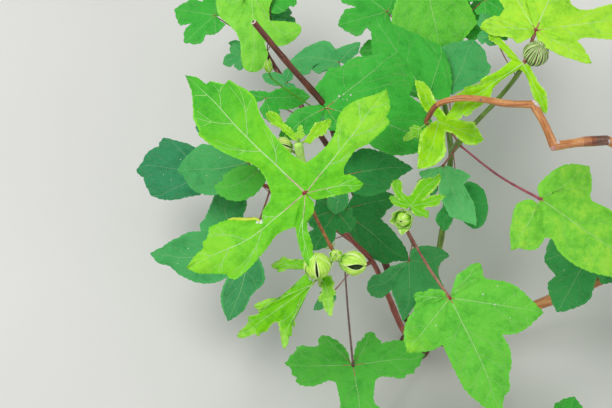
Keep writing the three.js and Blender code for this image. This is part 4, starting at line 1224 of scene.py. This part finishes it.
def bud(draft, foot, middle, radius, axis, kind, sizes):
    """A bud: five sepals on a turned profile, round a dark core, painted shade, that shows where they stand
    apart.

    A sepal is told by s up the profile and w across it. Its half-angle overlaps its neighbours' and
    falls to the tip share as it rises; the two sepals at the seam draw back from each other by the
    gap times a sine over the seam's span. Near the top its distance from the axis is drawn out to an
    ellipse, which is the mouth. Its face is 1 + a (1 - |w|) squared + b w from the axis, so that it
    is keeled and its one edge laps over the next.
    """
    k = BUD_KINDS[kind]
    (long, short), gap, tip = k.mouth, k.gap, k.tip
    middle, axis = np.array(middle, float), unit(np.array(axis, float))
    seam_faces = np.array(k.seam)
    side = unit(seam_faces - (seam_faces @ axis) * axis)
    other = np.cross(axis, side)
    profile = BUD_FORMS[k.form]
    base = middle + axis * radius * profile[0][1]
    neck = base + axis * radius * 0.12
    lead = base - axis * min(radius * 0.9, 0.45 * np.linalg.norm(base - foot))
    carry(draft, Path([foot, lead, neck]), max(THINNEST_NECK, NECK_SHARE * radius) * sizes.neck_share, k.neck)
    egg = Path(np.array([[r * k.slender, 0, h] for r, h in profile]) * radius)
    a = 2 * np.pi * np.arange(CORE_SIDES) / CORE_SIDES
    core = egg.at(np.linspace(0.02, 0.9 if gap else 0.62, CORE_RINGS)) * [0.8, 1, 0.9]
    ring = middle + core[:, None, :1] * turned(a, side, other) + core[:, None, 2:] * axis
    ends = np.stack([middle + core[0, 2] * axis, middle + core[-1, 2] * axis])
    draft.add(np.vstack([ring.reshape(-1, 3), ends]), tube_faces(CORE_RINGS, CORE_SIDES, 2), "bud_core")
    rows, columns = SEPAL_ROWS, SEPAL_COLUMNS
    s, w = np.meshgrid(np.linspace(0.02, 1, rows), np.linspace(-1, 1, columns), indexing="ij")
    face, line, edge = (draft.mark(n) for n in (k.face, k.lines, "bud_edge"))
    row, column = grid_places(rows, columns)
    rim = (column < k.rim) | (column > columns - 2 - k.rim) | (row > rows - 3)
    at = egg.at(s)
    half = radians(SEPAL_HALF) * (1 - (1 - tip) * smooth((s - 0.4) / 0.6))
    up_seam = np.clip((s - k.span[0]) / (k.span[1] - k.span[0]), 0, 1)
    open_seam = gap * np.sin(np.pi * up_seam ** k.late) ** 0.6
    for n in range(SEPALS):
        lined = np.isin((column + STRIPE_SHIFT * n) % (columns - 1), STRIPES[k.lines])
        marks = np.where(lined & (row > 2 + (column * 5 + n) % 4), line, face)
        marks = np.where(rim, edge, marks)
        centre = 2 * np.pi * (n + 0.5) / SEPALS
        seam = {0: -1, SEPALS - 1: 1}.get(n, 0)
        drawn = np.where(w * seam > 0, radians(SEAM_HALF - open_seam), half) if gap and seam else half
        angle = centre + w * np.minimum(drawn, half) + 0.12 * (s - 0.5) * (gap == 0)
        opening = short * long / np.sqrt((short * np.cos(angle)) ** 2 + (long * np.sin(angle)) ** 2)
        reach = np.sqrt(at[..., 0] ** 2 + (radius * opening * smooth((s - 0.4) / 0.6)) ** 2)
        reach = reach * (1 + 0.06 * w + 0.06 * (1 - np.abs(w)) ** 2)
        reach = reach * (1 - 0.2 * np.abs(w) * smooth((s - 0.8) / 0.2))
        height = at[..., 2] - 0.1 * radius * np.abs(w) * smooth((s - 0.75) / 0.25)
        top = middle + reach[..., None] * turned(angle, side, other) + height[..., None] * axis
        inward = (middle - top) / np.linalg.norm(top - middle, axis=-1, keepdims=True)
        close_sheet(draft, top.reshape(-1, 3), grid_faces(rows, columns, flip=True), marks,
                    grid_rim(rows, columns), inward.reshape(-1, 3) * sizes.sepal_thickness / MM,
                    "bud_edge", "bud_pale", flip=True)
    bracts, length, width, splay = k.bracts
    for n in range(bracts):
        away = turned(np.array(2 * np.pi * (n + 0.3) / bracts), side, other)
        root = base + away * radius * 0.3 + axis * radius * 0.15
        ahead = unit(away * splay + axis * (1 + 0.25 * math.sin(3.1 * n)))
        lancet(draft, root, ahead, unit(axis * splay - away), radius * length * (1 + 0.2 * math.sin(2.3 * n)),
               radius * width, k.bract, "bud_edge")


def limb_radius(widths, length, sizes, nodes, seed):
    """Half-width of a limb by angle and share: an even taper, times 1 plus slow ridges that drift
    round it, plus a swollen ring at each node, a bell curve 2.2 half-widths long."""
    random = np.random.default_rng(seed)
    phase = random.uniform(0, PHASES, 4)

    def at(a, s):
        r = widths[0] + (widths[1] - widths[0]) * s
        run = s * length
        relief = np.sin(3 * a + run * 0.05 + phase[0]) + 0.7 * np.sin(5 * a - run * 0.11 + phase[1])
        relief = relief + 0.5 * np.sin(8 * a + 1.2 * np.sin(run * 0.2 + phase[2]))
        relief = relief + 0.4 * np.sin(run * 0.9 + 2 * a)
        bulge = 0
        for k, place in enumerate(nodes):
            bulge = bulge + np.exp(-((run - place) / (2.2 * r)) ** 2) * (0.7 + 0.3 * np.cos(a - k * 2.4))
        return r * (1 + sizes.ridges * relief + sizes.swelling * bulge)

    return at


# The deepest green of a blade against its own colour, in red, green and blue; the veins' pale colour;
# and what a blade's back has more than seven tenths of its face, in red, green and blue.
DEEP_GREEN = (0.66, 0.8, 0.72)
VEIN_PALE = (228, 244, 194)
UNDER_PLUS = (0.09, 0.13, 0.06)

# Roughness of each shade, and how pale its ribs and its side veins are.
SURFACE_OF = {
    "tender": (0.4, 0.4, 0.3), "lime": (0.42, 0.55, 0.4), "lemon": (0.42, 0.5, 0.36),
    "fresh": (0.44, 0.4, 0.25), "young": (0.44, 0.62, 0.5), "bright": (0.46, 0.42, 0.26),
    "dapple": (0.46, 0.3, 0.14), "mint": (0.46, 0.45, 0.2), "grass": (0.5, 0.35, 0.22),
    "mid": (0.5, 0.35, 0.2), "mist": (0.55, 0.3, 0.2), "shadow": (0.5, 0.3, 0.2),
    "cool": (0.55, 0.28, 0.16), "blue": (0.55, 0.25, 0.14), "dusk": (0.56, 0.3, 0.16),
}

# The lit green of a blade against its own colour, and the strength of its bump.
LIT_OF = {
    "dapple": ((1.7, 1.16, 1.3), 0.5), "young": ((1.3, 1.06, 1.1), 0.45), "bright": ((1.3, 1.07, 1.2), 0.5),
    "other": ((1.22, 1.05, 1.05), 0.4),
}

# The shades that have lobes of another tint, with the tints; the cold and the slate tints are painted
# shade, the warm and the cream ones the leaves' own colour.
TINTED = (("young", "warm"), ("young", "cold"), ("cool", "slate"), ("bright", "warm"), ("lime", "cream"))

# How a leaf's edge differs from its face: times and plus, in red, green and blue.
RIM_OF = {
    "lime": ((1.7, 1.12, 1.5), (0.24, 0.14, 0.14)), "tender": ((1.4, 1.1, 1.5), (0.2, 0.1, 0.16)),
    "lemon": ((1.3, 1.1, 1.4), (0.16, 0.1, 0.12)), "fresh": ((1.15, 1.05, 1.3), (0.02, 0.02, 0.02)),
    "young": ((1.25, 1.08, 1.2), (0.03, 0.02, 0.01)), "other": ((1.1, 1.05, 1.0), (0.01, 0.01, 0.0)),
}

# Plain finishes: light and deep tone, and roughness.
PLAIN = {
    "vein_dust": ((206, 196, 160), (182, 168, 132), 0.45),
    "vein_pink": ((190, 150, 110), (165, 130, 90), 0.45),
    "vein_red": ((160, 66, 66), (128, 48, 52), 0.4),
    "edge_rolled": ((214, 232, 84), (190, 214, 52), 0.45),
    "speck": ((228, 234, 222), (206, 216, 200), 0.6),
    "stalk_orange": ((176, 120, 70), (140, 88, 54), 0.38),
    "stalk_pink": ((180, 124, 106), (148, 94, 84), 0.38),
    "stalk_purple": ((140, 110, 102), (106, 80, 76), 0.42),
    "stalk_green": ((176, 212, 104), (142, 184, 76), 0.42),
    "stalk_deep": ((110, 178, 44), (80, 146, 30), 0.45),
    "shoot_green": ((214, 252, 140), (182, 236, 104), 0.42),
    "stipule": ((150, 190, 84), (120, 156, 62), 0.5),
    "stalk_rose": ((186, 104, 116), (154, 76, 92), 0.38),
    "bract": ((160, 222, 56), (124, 196, 34), 0.5),
    "bract_pale": ((192, 238, 112), (154, 216, 74), 0.5),
    "bud_pale": ((206, 246, 112), (176, 230, 78), 0.5),
    "bud_cream": ((236, 250, 150), (212, 238, 108), 0.5),
    "bud_stone": ((192, 226, 146), (164, 204, 112), 0.5),
    "bud_line": ((172, 218, 84), (154, 204, 66), 0.5),
    "bud_stripe": ((108, 88, 70), (78, 60, 54), 0.5),
    "bud_edge": ((236, 252, 186), (216, 244, 148), 0.5),
    # Painted shade: the dark core that shows in the slit and mouth of a bud.
    "bud_core": ((58, 84, 44), (30, 50, 26), 0.9),
    "scar_pale": ((222, 210, 202), (190, 172, 164), 0.7),
    "scar_pink": ((208, 156, 146), (184, 128, 120), 0.6),
    "scar_grey": ((150, 128, 114), (112, 90, 80), 0.75),
    "cut_ring": ((238, 226, 214), (215, 195, 180), 0.7),
    # Painted shade: the dark of the hollow at the middle of the cut stem's end.
    "cut_pith": ((70, 40, 35), (45, 28, 25), 0.9),
}

# Barks: light, middle and dark tone, flecks, and roughness.
BARKS = {
    "red": ((194, 108, 92), (156, 78, 66), (110, 52, 44), (196, 152, 134), 0.42),
    "tan": ((224, 168, 112), (198, 130, 76), (156, 92, 52), (112, 66, 44), 0.32),
    "umber": ((176, 112, 72), (138, 78, 50), (96, 52, 38), (80, 48, 40), 0.36),
    "dark": ((136, 74, 56), (94, 46, 34), (58, 30, 24), (150, 110, 90), 0.45),
    "rust": ((204, 142, 94), (170, 106, 64), (128, 74, 45), (98, 60, 42), 0.34),
    "ash": ((150, 112, 90), (116, 82, 66), (84, 56, 46), (170, 150, 136), 0.6),
    "olive": ((144, 176, 80), (108, 142, 54), (84, 98, 44), (160, 140, 96), 0.45),
    "crown": ((150, 118, 92), (108, 80, 60), (68, 48, 38), (60, 44, 36), 0.85),
}

# The colour of a rib near its junction, where it isn't the pink one.
NEAR_OF = {"young": "vein_dust", "blue": "vein_dust"}


def principled(name, roughness, specular=0.25):
    """A new material with its node tree and its shader."""
    material = bpy.data.materials.new(name)
    material.use_nodes = True
    tree = material.node_tree
    shader = tree.nodes["Principled BSDF"]
    shader.inputs["Roughness"].default_value = roughness
    shader.inputs["Specular IOR Level"].default_value = specular
    return material, tree, shader


def node(tree, kind, settings=None, **inputs):
    """Adds a node, sets its own settings, then its sockets, each to another node's output or a plain
    value. A socket is told by its name, or by its number after an underscore."""
    made = tree.nodes.new(kind)
    for key, value in (settings or {}).items():
        setattr(made, key, value)
    for key, value in inputs.items():
        socket = made.inputs[int(key[1:]) if key[0] == "_" else key.replace("_", " ")]
        if isinstance(value, bpy.types.NodeSocket):
            tree.links.new(value, socket)
        else:
            socket.default_value = value
    return made


def position(tree):
    """Where a point lies on its own object."""
    return tree.nodes.new("ShaderNodeTexCoord").outputs["Object"]


def noise(tree, place, scale, detail, roughness=0.5):
    """A noise read at a place, 0 to 1."""
    made = node(tree, "ShaderNodeTexNoise", Vector=place, Scale=scale, Detail=detail, Roughness=roughness)
    return made.outputs["Fac"]


def sum_of(tree, first, times, plus):
    """One value times a number, plus another value."""
    return node(tree, "ShaderNodeMath", {"operation": "MULTIPLY_ADD"}, _0=first, _1=times, _2=plus).outputs[0]


def colour_over(tree, shader, base, colour, distance, span, most):
    """The base colour, and over it another, whose share falls from most to none as a distance goes
    from the start of the span to its end."""
    share = node(tree, "ShaderNodeMapRange", Value=distance, From_Min=span[0], From_Max=span[1],
                 To_Min=most, To_Max=0.0).outputs["Result"]
    mixed = node(tree, "ShaderNodeMix", {"data_type": "RGBA"}, Factor=share, _6=base, _7=colour)
    tree.links.new(mixed.outputs[2], shader.inputs["Base Color"])


def bump(tree, shader, height, strength, distance):
    """Bump by a height."""
    made = node(tree, "ShaderNodeBump", Strength=strength, Distance=distance, Height=height)
    tree.links.new(made.outputs["Normal"], shader.inputs["Normal"])


def ramp(tree, factor, stops):
    """A colour ramp from (place, colour) pairs."""
    made = tree.nodes.new("ShaderNodeValToRGB")
    band = made.color_ramp
    while len(band.elements) < len(stops):
        band.elements.new(0.5)
    for element, (place, colour) in zip(band.elements, stops):
        element.position, element.color = place, colour
    tree.links.new(factor, made.inputs["Fac"])
    return made.outputs["Color"]


def leaf_finish(name, colour, roughness, net=0.25, lit=(1.22, 1.05, 1.05), relief=0.4):
    """A blade's finish: deep, middle and lit greens in soft patches and a fine mottle, a net of
    veinlets, and pillows between them in the bump."""
    material, tree, shader = principled(name, roughness, 0.14)
    deep = (*(c * k for c, k in zip(colour, DEEP_GREEN)), 1.0)
    light = (*(min(1, c * k) for c, k in zip(colour, lit)), 1.0)
    pale = (*(min(1, 0.08 + 0.95 * c) for c in colour), 1.0)
    place = position(tree)
    mottle = noise(tree, place, 260.0, 3.0, 0.6)
    both = sum_of(tree, mottle, 0.45, noise(tree, place, 60.0, 4.0, 0.6))
    base = ramp(tree, both, [(0.54, deep), (0.71, (*colour, 1.0)), (0.88, light)])
    cells = node(tree, "ShaderNodeTexVoronoi", {"feature": "DISTANCE_TO_EDGE"}, Vector=place, Scale=420.0)
    cells = cells.outputs["Distance"]
    colour_over(tree, shader, base, pale, cells, (0.0, 0.12), net)
    height = sum_of(tree, mottle, 2.0, sum_of(tree, cells, 2.4, noise(tree, place, 900.0, 2.0)))
    bump(tree, shader, height, relief, 0.0007)
    return material


def plain_finish(name, colour, deep, roughness, scale=240.0, relief=0.15):
    """A stalk, vein or bud finish: two near colours in small patches, and a fine grain."""
    material, tree, shader = principled(name, roughness)
    patch = noise(tree, position(tree), scale, 2.0)
    tree.links.new(ramp(tree, patch, [(0.35, deep), (0.65, colour)]), shader.inputs["Base Color"])
    bump(tree, shader, patch, relief, 0.0004)
    return material


def bark_finish(name, light, mid, dark, fleck, roughness):
    """Young bark: streaks drawn out along the limb in three tones, dark flecks, and fine furrows.

    The pattern is read on a round tube: cosine and sine of the way round, and the run along it.
    """
    material, tree, shader = principled(name, roughness, 0.45)
    uv = node(tree, "ShaderNodeSeparateXYZ", Vector=tree.nodes.new("ShaderNodeTexCoord").outputs["UV"])
    turn = sum_of(tree, uv.outputs["X"], 2 * math.pi, 0.0)
    across, along = (node(tree, "ShaderNodeMath", {"operation": kind}, _0=turn).outputs[0]
                     for kind in ("COSINE", "SINE"))
    tube = node(tree, "ShaderNodeCombineXYZ", X=across, Y=along, Z=uv.outputs["Y"]).outputs[0]

    def drawn(round_scale, run_scale):
        scales = (round_scale, round_scale, run_scale)
        return node(tree, "ShaderNodeMapping", Vector=tube, Scale=scales).outputs[0]

    streak = noise(tree, drawn(2.6, 45.0), 1.0, 4.0, 0.6)
    both = sum_of(tree, noise(tree, drawn(0.7, 70.0), 1.0, 2.0), 0.6, streak)
    tone = ramp(tree, both, [(0.55, dark), (0.78, mid), (1.0, light)])
    spots = node(tree, "ShaderNodeTexVoronoi", Vector=drawn(2.2, 230.0), Scale=1.0)
    colour_over(tree, shader, tone, fleck, spots.outputs["Distance"], (0.12, 0.24), 0.7)
    bump(tree, shader, streak, 0.3, 0.0006)
    return material


def make_finishes(colours):
    """Every finish of the plant by name, the leaf colours taken from the settings. A rib and a side
    vein mix the blade's own colour with the pale one of veins."""
    made = {}
    pale = np.array(linear(*VEIN_PALE)[:3])
    for shade in HABITS:
        own = np.array(getattr(colours, shade))
        rim_times, rim_plus = RIM_OF.get(shade, RIM_OF["other"])
        rough, rib, vein = SURFACE_OF[shade]
        lit, relief = LIT_OF.get(shade, LIT_OF["other"])
        rim, under = (np.minimum(1, c) for c in (own * rim_times + rim_plus, own * 0.7 + UNDER_PLUS))
        made[shade] = leaf_finish("leaf_" + shade, own, rough, lit=lit, relief=relief)
        made[shade + "_edge"] = plain_finish("edge_" + shade, (*rim, 1.0), (*own, 1.0), rough)
        made[shade + "_under"] = leaf_finish("under_" + shade, under, 0.6, 0.3)
        for part, share in (("rib", rib), ("vein", vein)):
            mixed = own * (1 - share) + pale * share
            deep = mixed * 0.85
            made[f"{shade}_{part}"] = plain_finish(f"{part}_{shade}", (*mixed, 1.0), (*deep, 1.0), 0.45)
    for shade, tint in TINTED:
        own, other = (np.array(getattr(colours, name)) for name in (shade, tint))
        for step in range(1, TINT_STEPS + 1):
            share = step / TINT_STEPS
            name = f"{shade}_{tint}{step}"
            made[name] = leaf_finish("leaf_" + name, own * (1 - share) + other * share, 0.45)
    for name, (light, deep, rough) in PLAIN.items():
        made[name] = plain_finish(name, linear(*light), linear(*deep), rough)
    for name, (*tones, rough) in BARKS.items():
        made["bark_" + name] = bark_finish("bark_" + name, *(linear(*tone) for tone in tones), rough)
    return made


def number(name, description, default, **more):
    """A number setting."""
    return bpy.props.FloatProperty(name=name, description=description, default=default, **more)


def swatch(name, description, *steps):
    """A colour setting, its default told in 0 to 255 steps."""
    return bpy.props.FloatVectorProperty(
        name=name, description=description, subtype="COLOR", min=0, max=1, default=linear(*steps)[:3])


class MallowLeaf(bpy.types.PropertyGroup):
    thickness: number("Thickness", "From a blade's face to its back", 0.0005, unit="LENGTH", precision=4)
    rib_width: number("Rib width", "Main rib at the junction, as a share of blade length", 0.013)


class MallowColours(bpy.types.PropertyGroup):
    tender: swatch("Unfolding leaves", "Crinkled leaves at a tip", 152, 226, 26)
    lime: swatch("Youngest leaves", "Small leaves by the buds", 112, 200, 0)
    lemon: swatch("Yellow leaves", "Small leaves of the right-hand shoots", 146, 218, 0)
    fresh: swatch("Fresh leaves", "Large leaves of the top shoot", 164, 228, 52)
    young: swatch("Young leaves", "Large leaves at the top", 108, 206, 32)
    bright: swatch("Bright leaves", "Grown leaves in the light", 102, 202, 58)
    dapple: swatch("Dappled leaves", "Puckered leaves with yellow patches", 122, 208, 56)
    mint: swatch("Pale leaves", "Leaves in the light at the back", 130, 218, 62)
    grass: swatch("Low leaves", "Grown leaves near the ground", 86, 194, 62)
    mid: swatch("Middle leaves", "Grown leaves in the plant", 62, 180, 56)
    # Painted light: a paler copy of the cool green, for a leaf that other leaves shade, so that it looks lit.
    mist: swatch("Hazy leaves", "Pale leaves in part shade", 116, 228, 132)
    shadow: swatch("Leaves in shadow", "Leaves below other leaves", 68, 186, 88)
    cool: swatch("Cool leaves", "Leaves in part shade", 72, 172, 92)
    blue: swatch("Dull leaves", "Old leaves at the side", 50, 146, 92)
    dusk: swatch("Shaded leaves", "Old leaves low in the plant", 56, 158, 76)
    warm: swatch("Warm lobes", "Lobes that turn yellow first", 142, 220, 50)
    # Painted shade: the darker green that the star's central lobe turns to towards its tip.
    cold: swatch("Cold lobes", "Lobes that stay deep green", 74, 184, 42)
    # Painted shade: the darker, bluer green of the low trio's third lobe.
    slate: swatch("Slate lobes", "Lobes in deep shade", 60, 152, 86)
    cream: swatch("Cream lobes", "Tips of the youngest leaves", 178, 238, 96)


class MallowStem(bpy.types.PropertyGroup):
    ridges: number("Ridges", "Depth of the bark's ridges, as a share of half-width", 0.022)
    swelling: number("Node swelling", "How far a node stands out, as a share of half-width", 0.16)
    stalk_share: number("Stalk width", "Leaf stalks' half-width against the solid's", 0.66)


class MallowBud(bpy.types.PropertyGroup):
    sepal_thickness: number(
        "Sepal thickness", "From a sepal's face to its back", 0.0004, unit="LENGTH", precision=4)
    neck_share: number("Neck width", "A bud's neck against the solid's", 0.9)


class MallowStage(bpy.types.PropertyGroup):
    floor: number("Floor", "Side of the floor", 8.0, unit="LENGTH")
    key: number("Key light", "Power of the large soft light", 20.0)
    fill: number("Fill light", "Power of the light that softens shade", 8.0)
    sky: number("Sky", "Strength of the even pale surround", 0.5)


class MALLOW_OT_stage(bpy.types.Operator):
    """Lays a pale floor, hangs two soft lights and sets the camera above the plant."""

    bl_idname = "mallow.stage"
    bl_label = "Stage"

    def execute(self, context):
        settings = context.scene.mallow_stage
        half = settings.floor / 2
        mesh = bpy.data.meshes.new("floor")
        corners = [(-half, -half, 0), (half, -half, 0), (half, half, 0), (-half, half, 0)]
        mesh.from_pydata(corners, [], [(0, 1, 2, 3)])
        floor = bpy.data.objects.new("floor", mesh)
        context.scene.collection.objects.link(floor)
        mesh.materials.append(plain_finish("floor", *FLOOR_COLOURS, 0.9, 3.0, 0.0))
        for name, place, aim, size in LIGHTS:
            light = bpy.data.lights.new(name, "AREA")
            light.shape, light.size, light.energy = "DISK", size, getattr(settings, name)
            lamp = bpy.data.objects.new(name, light)
            context.scene.collection.objects.link(lamp)
            lamp.location = place
            lamp.rotation_euler = (Vector(aim) - Vector(place)).to_track_quat("-Z", "Y").to_euler()
        world = bpy.data.worlds.new("sky")
        world.use_nodes = True
        surround = world.node_tree.nodes["Background"].inputs
        surround["Color"].default_value, surround["Strength"].default_value = SKY_COLOUR, settings.sky
        context.scene.world = world
        context.scene.view_settings.view_transform = "Standard"
        lens = bpy.data.cameras.new("camera")
        lens.lens, lens.sensor_width, lens.clip_start = LENS_LENGTH, SENSOR_WIDTH, NEAREST_SEEN
        camera = bpy.data.objects.new("camera", lens)
        context.scene.collection.objects.link(camera)
        camera.location, camera.rotation_euler = CAMERA_PLACE, (radians(CAMERA_TILT), 0, 0)
        context.scene.camera = camera
        return {"FINISHED"}


class MALLOW_OT_crown(bpy.types.Operator):
    """Turns the root crown from its profile, with knots and furrows in its bark.

    The half-width at a height is the profile's, times 1 plus sines of the angle that fade out at
    both ends.
    """

    bl_idname = "mallow.crown"
    bl_label = "Root crown"

    def execute(self, context):
        profile = Path([(r, 0, z) for r, z in CROWN_PROFILE]).at(np.linspace(0, 1, CROWN_RINGS))
        a = np.linspace(0, 2 * np.pi, CROWN_SIDES, endpoint=False)[None]
        z = np.maximum(profile[:, 2:], 0)
        relief = 0.05 * np.sin(5 * a + 0.08 * z) + 0.03 * np.sin(11 * a - 0.15 * z)
        relief = relief + 0.02 * np.sin(23 * a + 0.3 * z)
        relief = relief + 0.05 * np.cos(a - 2) * np.sin(0.2 * z) + 0.03 * np.sin(0.7 * z + 2 * a)
        fade = smooth(z / 6) * smooth((CROWN_HEIGHT - z) / 8)
        r = profile[:, :1] * (1 + relief * fade)
        ring = np.stack([r * np.cos(a), r * np.sin(a), z * np.ones_like(a)], -1).reshape(-1, 3)
        ring = np.vstack([ring, [[0, 0, 0]]])
        draft = Draft()
        draft.add(ring, tube_faces(CROWN_RINGS, CROWN_SIDES, 1), "bark_crown", uv=ring[:, ::2] * MM)
        draft.piece("bark_root_crown", "crown_bark", "root_crown")
        return {"FINISHED"}


class MALLOW_OT_bark(bpy.types.Operator):
    """Carries a ridged and noded ring along each bare limb's path."""

    bl_idname = "mallow.bark"
    bl_label = "Bark of the limbs"

    def execute(self, context):
        sizes = context.scene.mallow_stem
        for k, (name, (bark, widths, points)) in enumerate(LIMBS.items()):
            path = Path(points)
            first = FIRST_NODE + NODE_SHIFT * (k % 3)
            nodes = NODES.get(name, list(np.arange(first, path.length - NODELESS_END, NODE_SPACING)))
            relief = limb_radius(widths, path.length, sizes, nodes, LIMB_SEED + k)
            draft = Draft()
            carry(draft, path, relief, BARK_RUNS.get(name, "bark_" + bark), sides=LIMB_SIDES,
                  rings=int(path.length / LIMB_RING) + LIMB_MORE)
            if name == "stem_cut_top":
                end, ahead = path.at(1.0), path.along(1.0)
                for inset, out, share, finish, sides in CUT_END:
                    carry(draft, Path([end - ahead * inset, end + ahead * out]), widths[1] * share, finish,
                          sides=sides, rings=3, domed=False)
            for share, way, breadth, height, finish in SCARS.get(name, ()):
                way = unit(np.array(way, float))
                dome(draft, path.at(share) + way * widths[0] * 0.8, way, breadth, height, finish, sides=12)
            draft.piece("bark_" + name, "stem_" + bark, name)
        return {"FINISHED"}


class MALLOW_OT_twigs(bpy.types.Operator):
    """Carries every mass's own stem and its leaves' stalks, with their stipules."""

    bl_idname = "mallow.twigs"
    bl_label = "Stalks and twigs"

    def execute(self, context):
        sizes = context.scene.mallow_stem
        for k, (name, mass) in enumerate(MASSES.items()):
            stem, leaves = mass_leaves(name)
            draft = Draft()
            nodes = sorted({round(leaf[6] * stem.length, 1) for leaf in leaves})
            bark = mass["bark"] if isinstance(mass["bark"], tuple) else "bark_" + mass["bark"]
            relief = limb_radius(mass["width"], stem.length, sizes, nodes, STEM_SEED + k)
            carry(draft, stem, relief, bark, sides=STEM_SIDES, rings=int(stem.length / STEM_RING) + STEM_MORE)
            for leaf in leaves:
                stalk(draft, stem, leaf, sizes)
            draft.piece(name + "_twigs", "stalk_pink", name)
        return {"FINISHED"}


class MALLOW_OT_leaves(bpy.types.Operator):
    """Grows every mass's blades, with their ribs and side veins."""

    bl_idname = "mallow.leaves"
    bl_label = "Lobed leaves"

    def execute(self, context):
        sizes = context.scene.mallow_leaf
        seed = 0
        for name, mass in MASSES.items():
            draft = Draft()
            for form, size, place, heading, tilt, roll, _, shade, colour in mass_leaves(name)[1]:
                seed += 1
                blade = Blade(form, size, place, heading, tilt, roll, shade, seed)
                sheet(draft, blade, shade, sizes.thickness / MM)
                veins(draft, blade, shade, sizes)
                dome(draft, blade.origin, blade.up, max(0.4, size * 0.008), max(0.3, size * 0.005),
                     shade + "_rib" if colour == "green" else "vein_red")
            draft.piece(name + "_leaves", mass["slot"], name)
        return {"FINISHED"}


class MALLOW_OT_buds(bpy.types.Operator):
    """Makes the buds at the shoots' tips."""

    bl_idname = "mallow.buds"
    bl_label = "Buds"

    def execute(self, context):
        sizes = context.scene.mallow_bud
        for name, mass in MASSES.items():
            if not mass["buds"]:
                continue
            stem = Path(mass["stem"])
            draft = Draft()
            for middle, radius, on, axis, kind in mass["buds"]:
                bud(draft, stem.at(on), middle, radius, axis, kind, sizes)
            draft.piece(name + "_buds", "bud_green", name)
        return {"FINISHED"}


class MALLOW_PT_panel(bpy.types.Panel):
    """Settings and steps of the plant."""

    bl_label = "Sunset muskmallow"
    bl_idname = "MALLOW_PT_panel"
    bl_space_type = "VIEW_3D"
    bl_region_type = "UI"
    bl_category = "Muskmallow"

    def draw(self, context):
        for key, group in GROUPS.items():
            box = self.layout.box()
            for prop in group.__annotations__:
                box.prop(getattr(context.scene, key), prop)
        for operator in OPERATORS:
            self.layout.operator(operator.bl_idname)


GROUPS = {
    "mallow_leaf": MallowLeaf,
    "mallow_colours": MallowColours,
    "mallow_stem": MallowStem,
    "mallow_bud": MallowBud,
    "mallow_stage": MallowStage,
}
OPERATORS = (
    MALLOW_OT_stage, MALLOW_OT_crown, MALLOW_OT_bark, MALLOW_OT_twigs, MALLOW_OT_leaves, MALLOW_OT_buds)
CLASSES = (*GROUPS.values(), *OPERATORS, MALLOW_PT_panel)


def register():
    for cls in CLASSES:
        bpy.utils.register_class(cls)
    for key, group in GROUPS.items():
        setattr(bpy.types.Scene, key, bpy.props.PointerProperty(type=group))


def unregister():
    for key in GROUPS:
        delattr(bpy.types.Scene, key)
    for cls in reversed(CLASSES):
        bpy.utils.unregister_class(cls)


def main():
    """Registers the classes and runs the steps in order."""
    register()
    FINISHES.update(make_finishes(bpy.context.scene.mallow_colours))
    for operator in OPERATORS:
        group, step = operator.bl_idname.split(".")
        getattr(getattr(bpy.ops, group), step)()


if __name__ == "__main__":
    main()
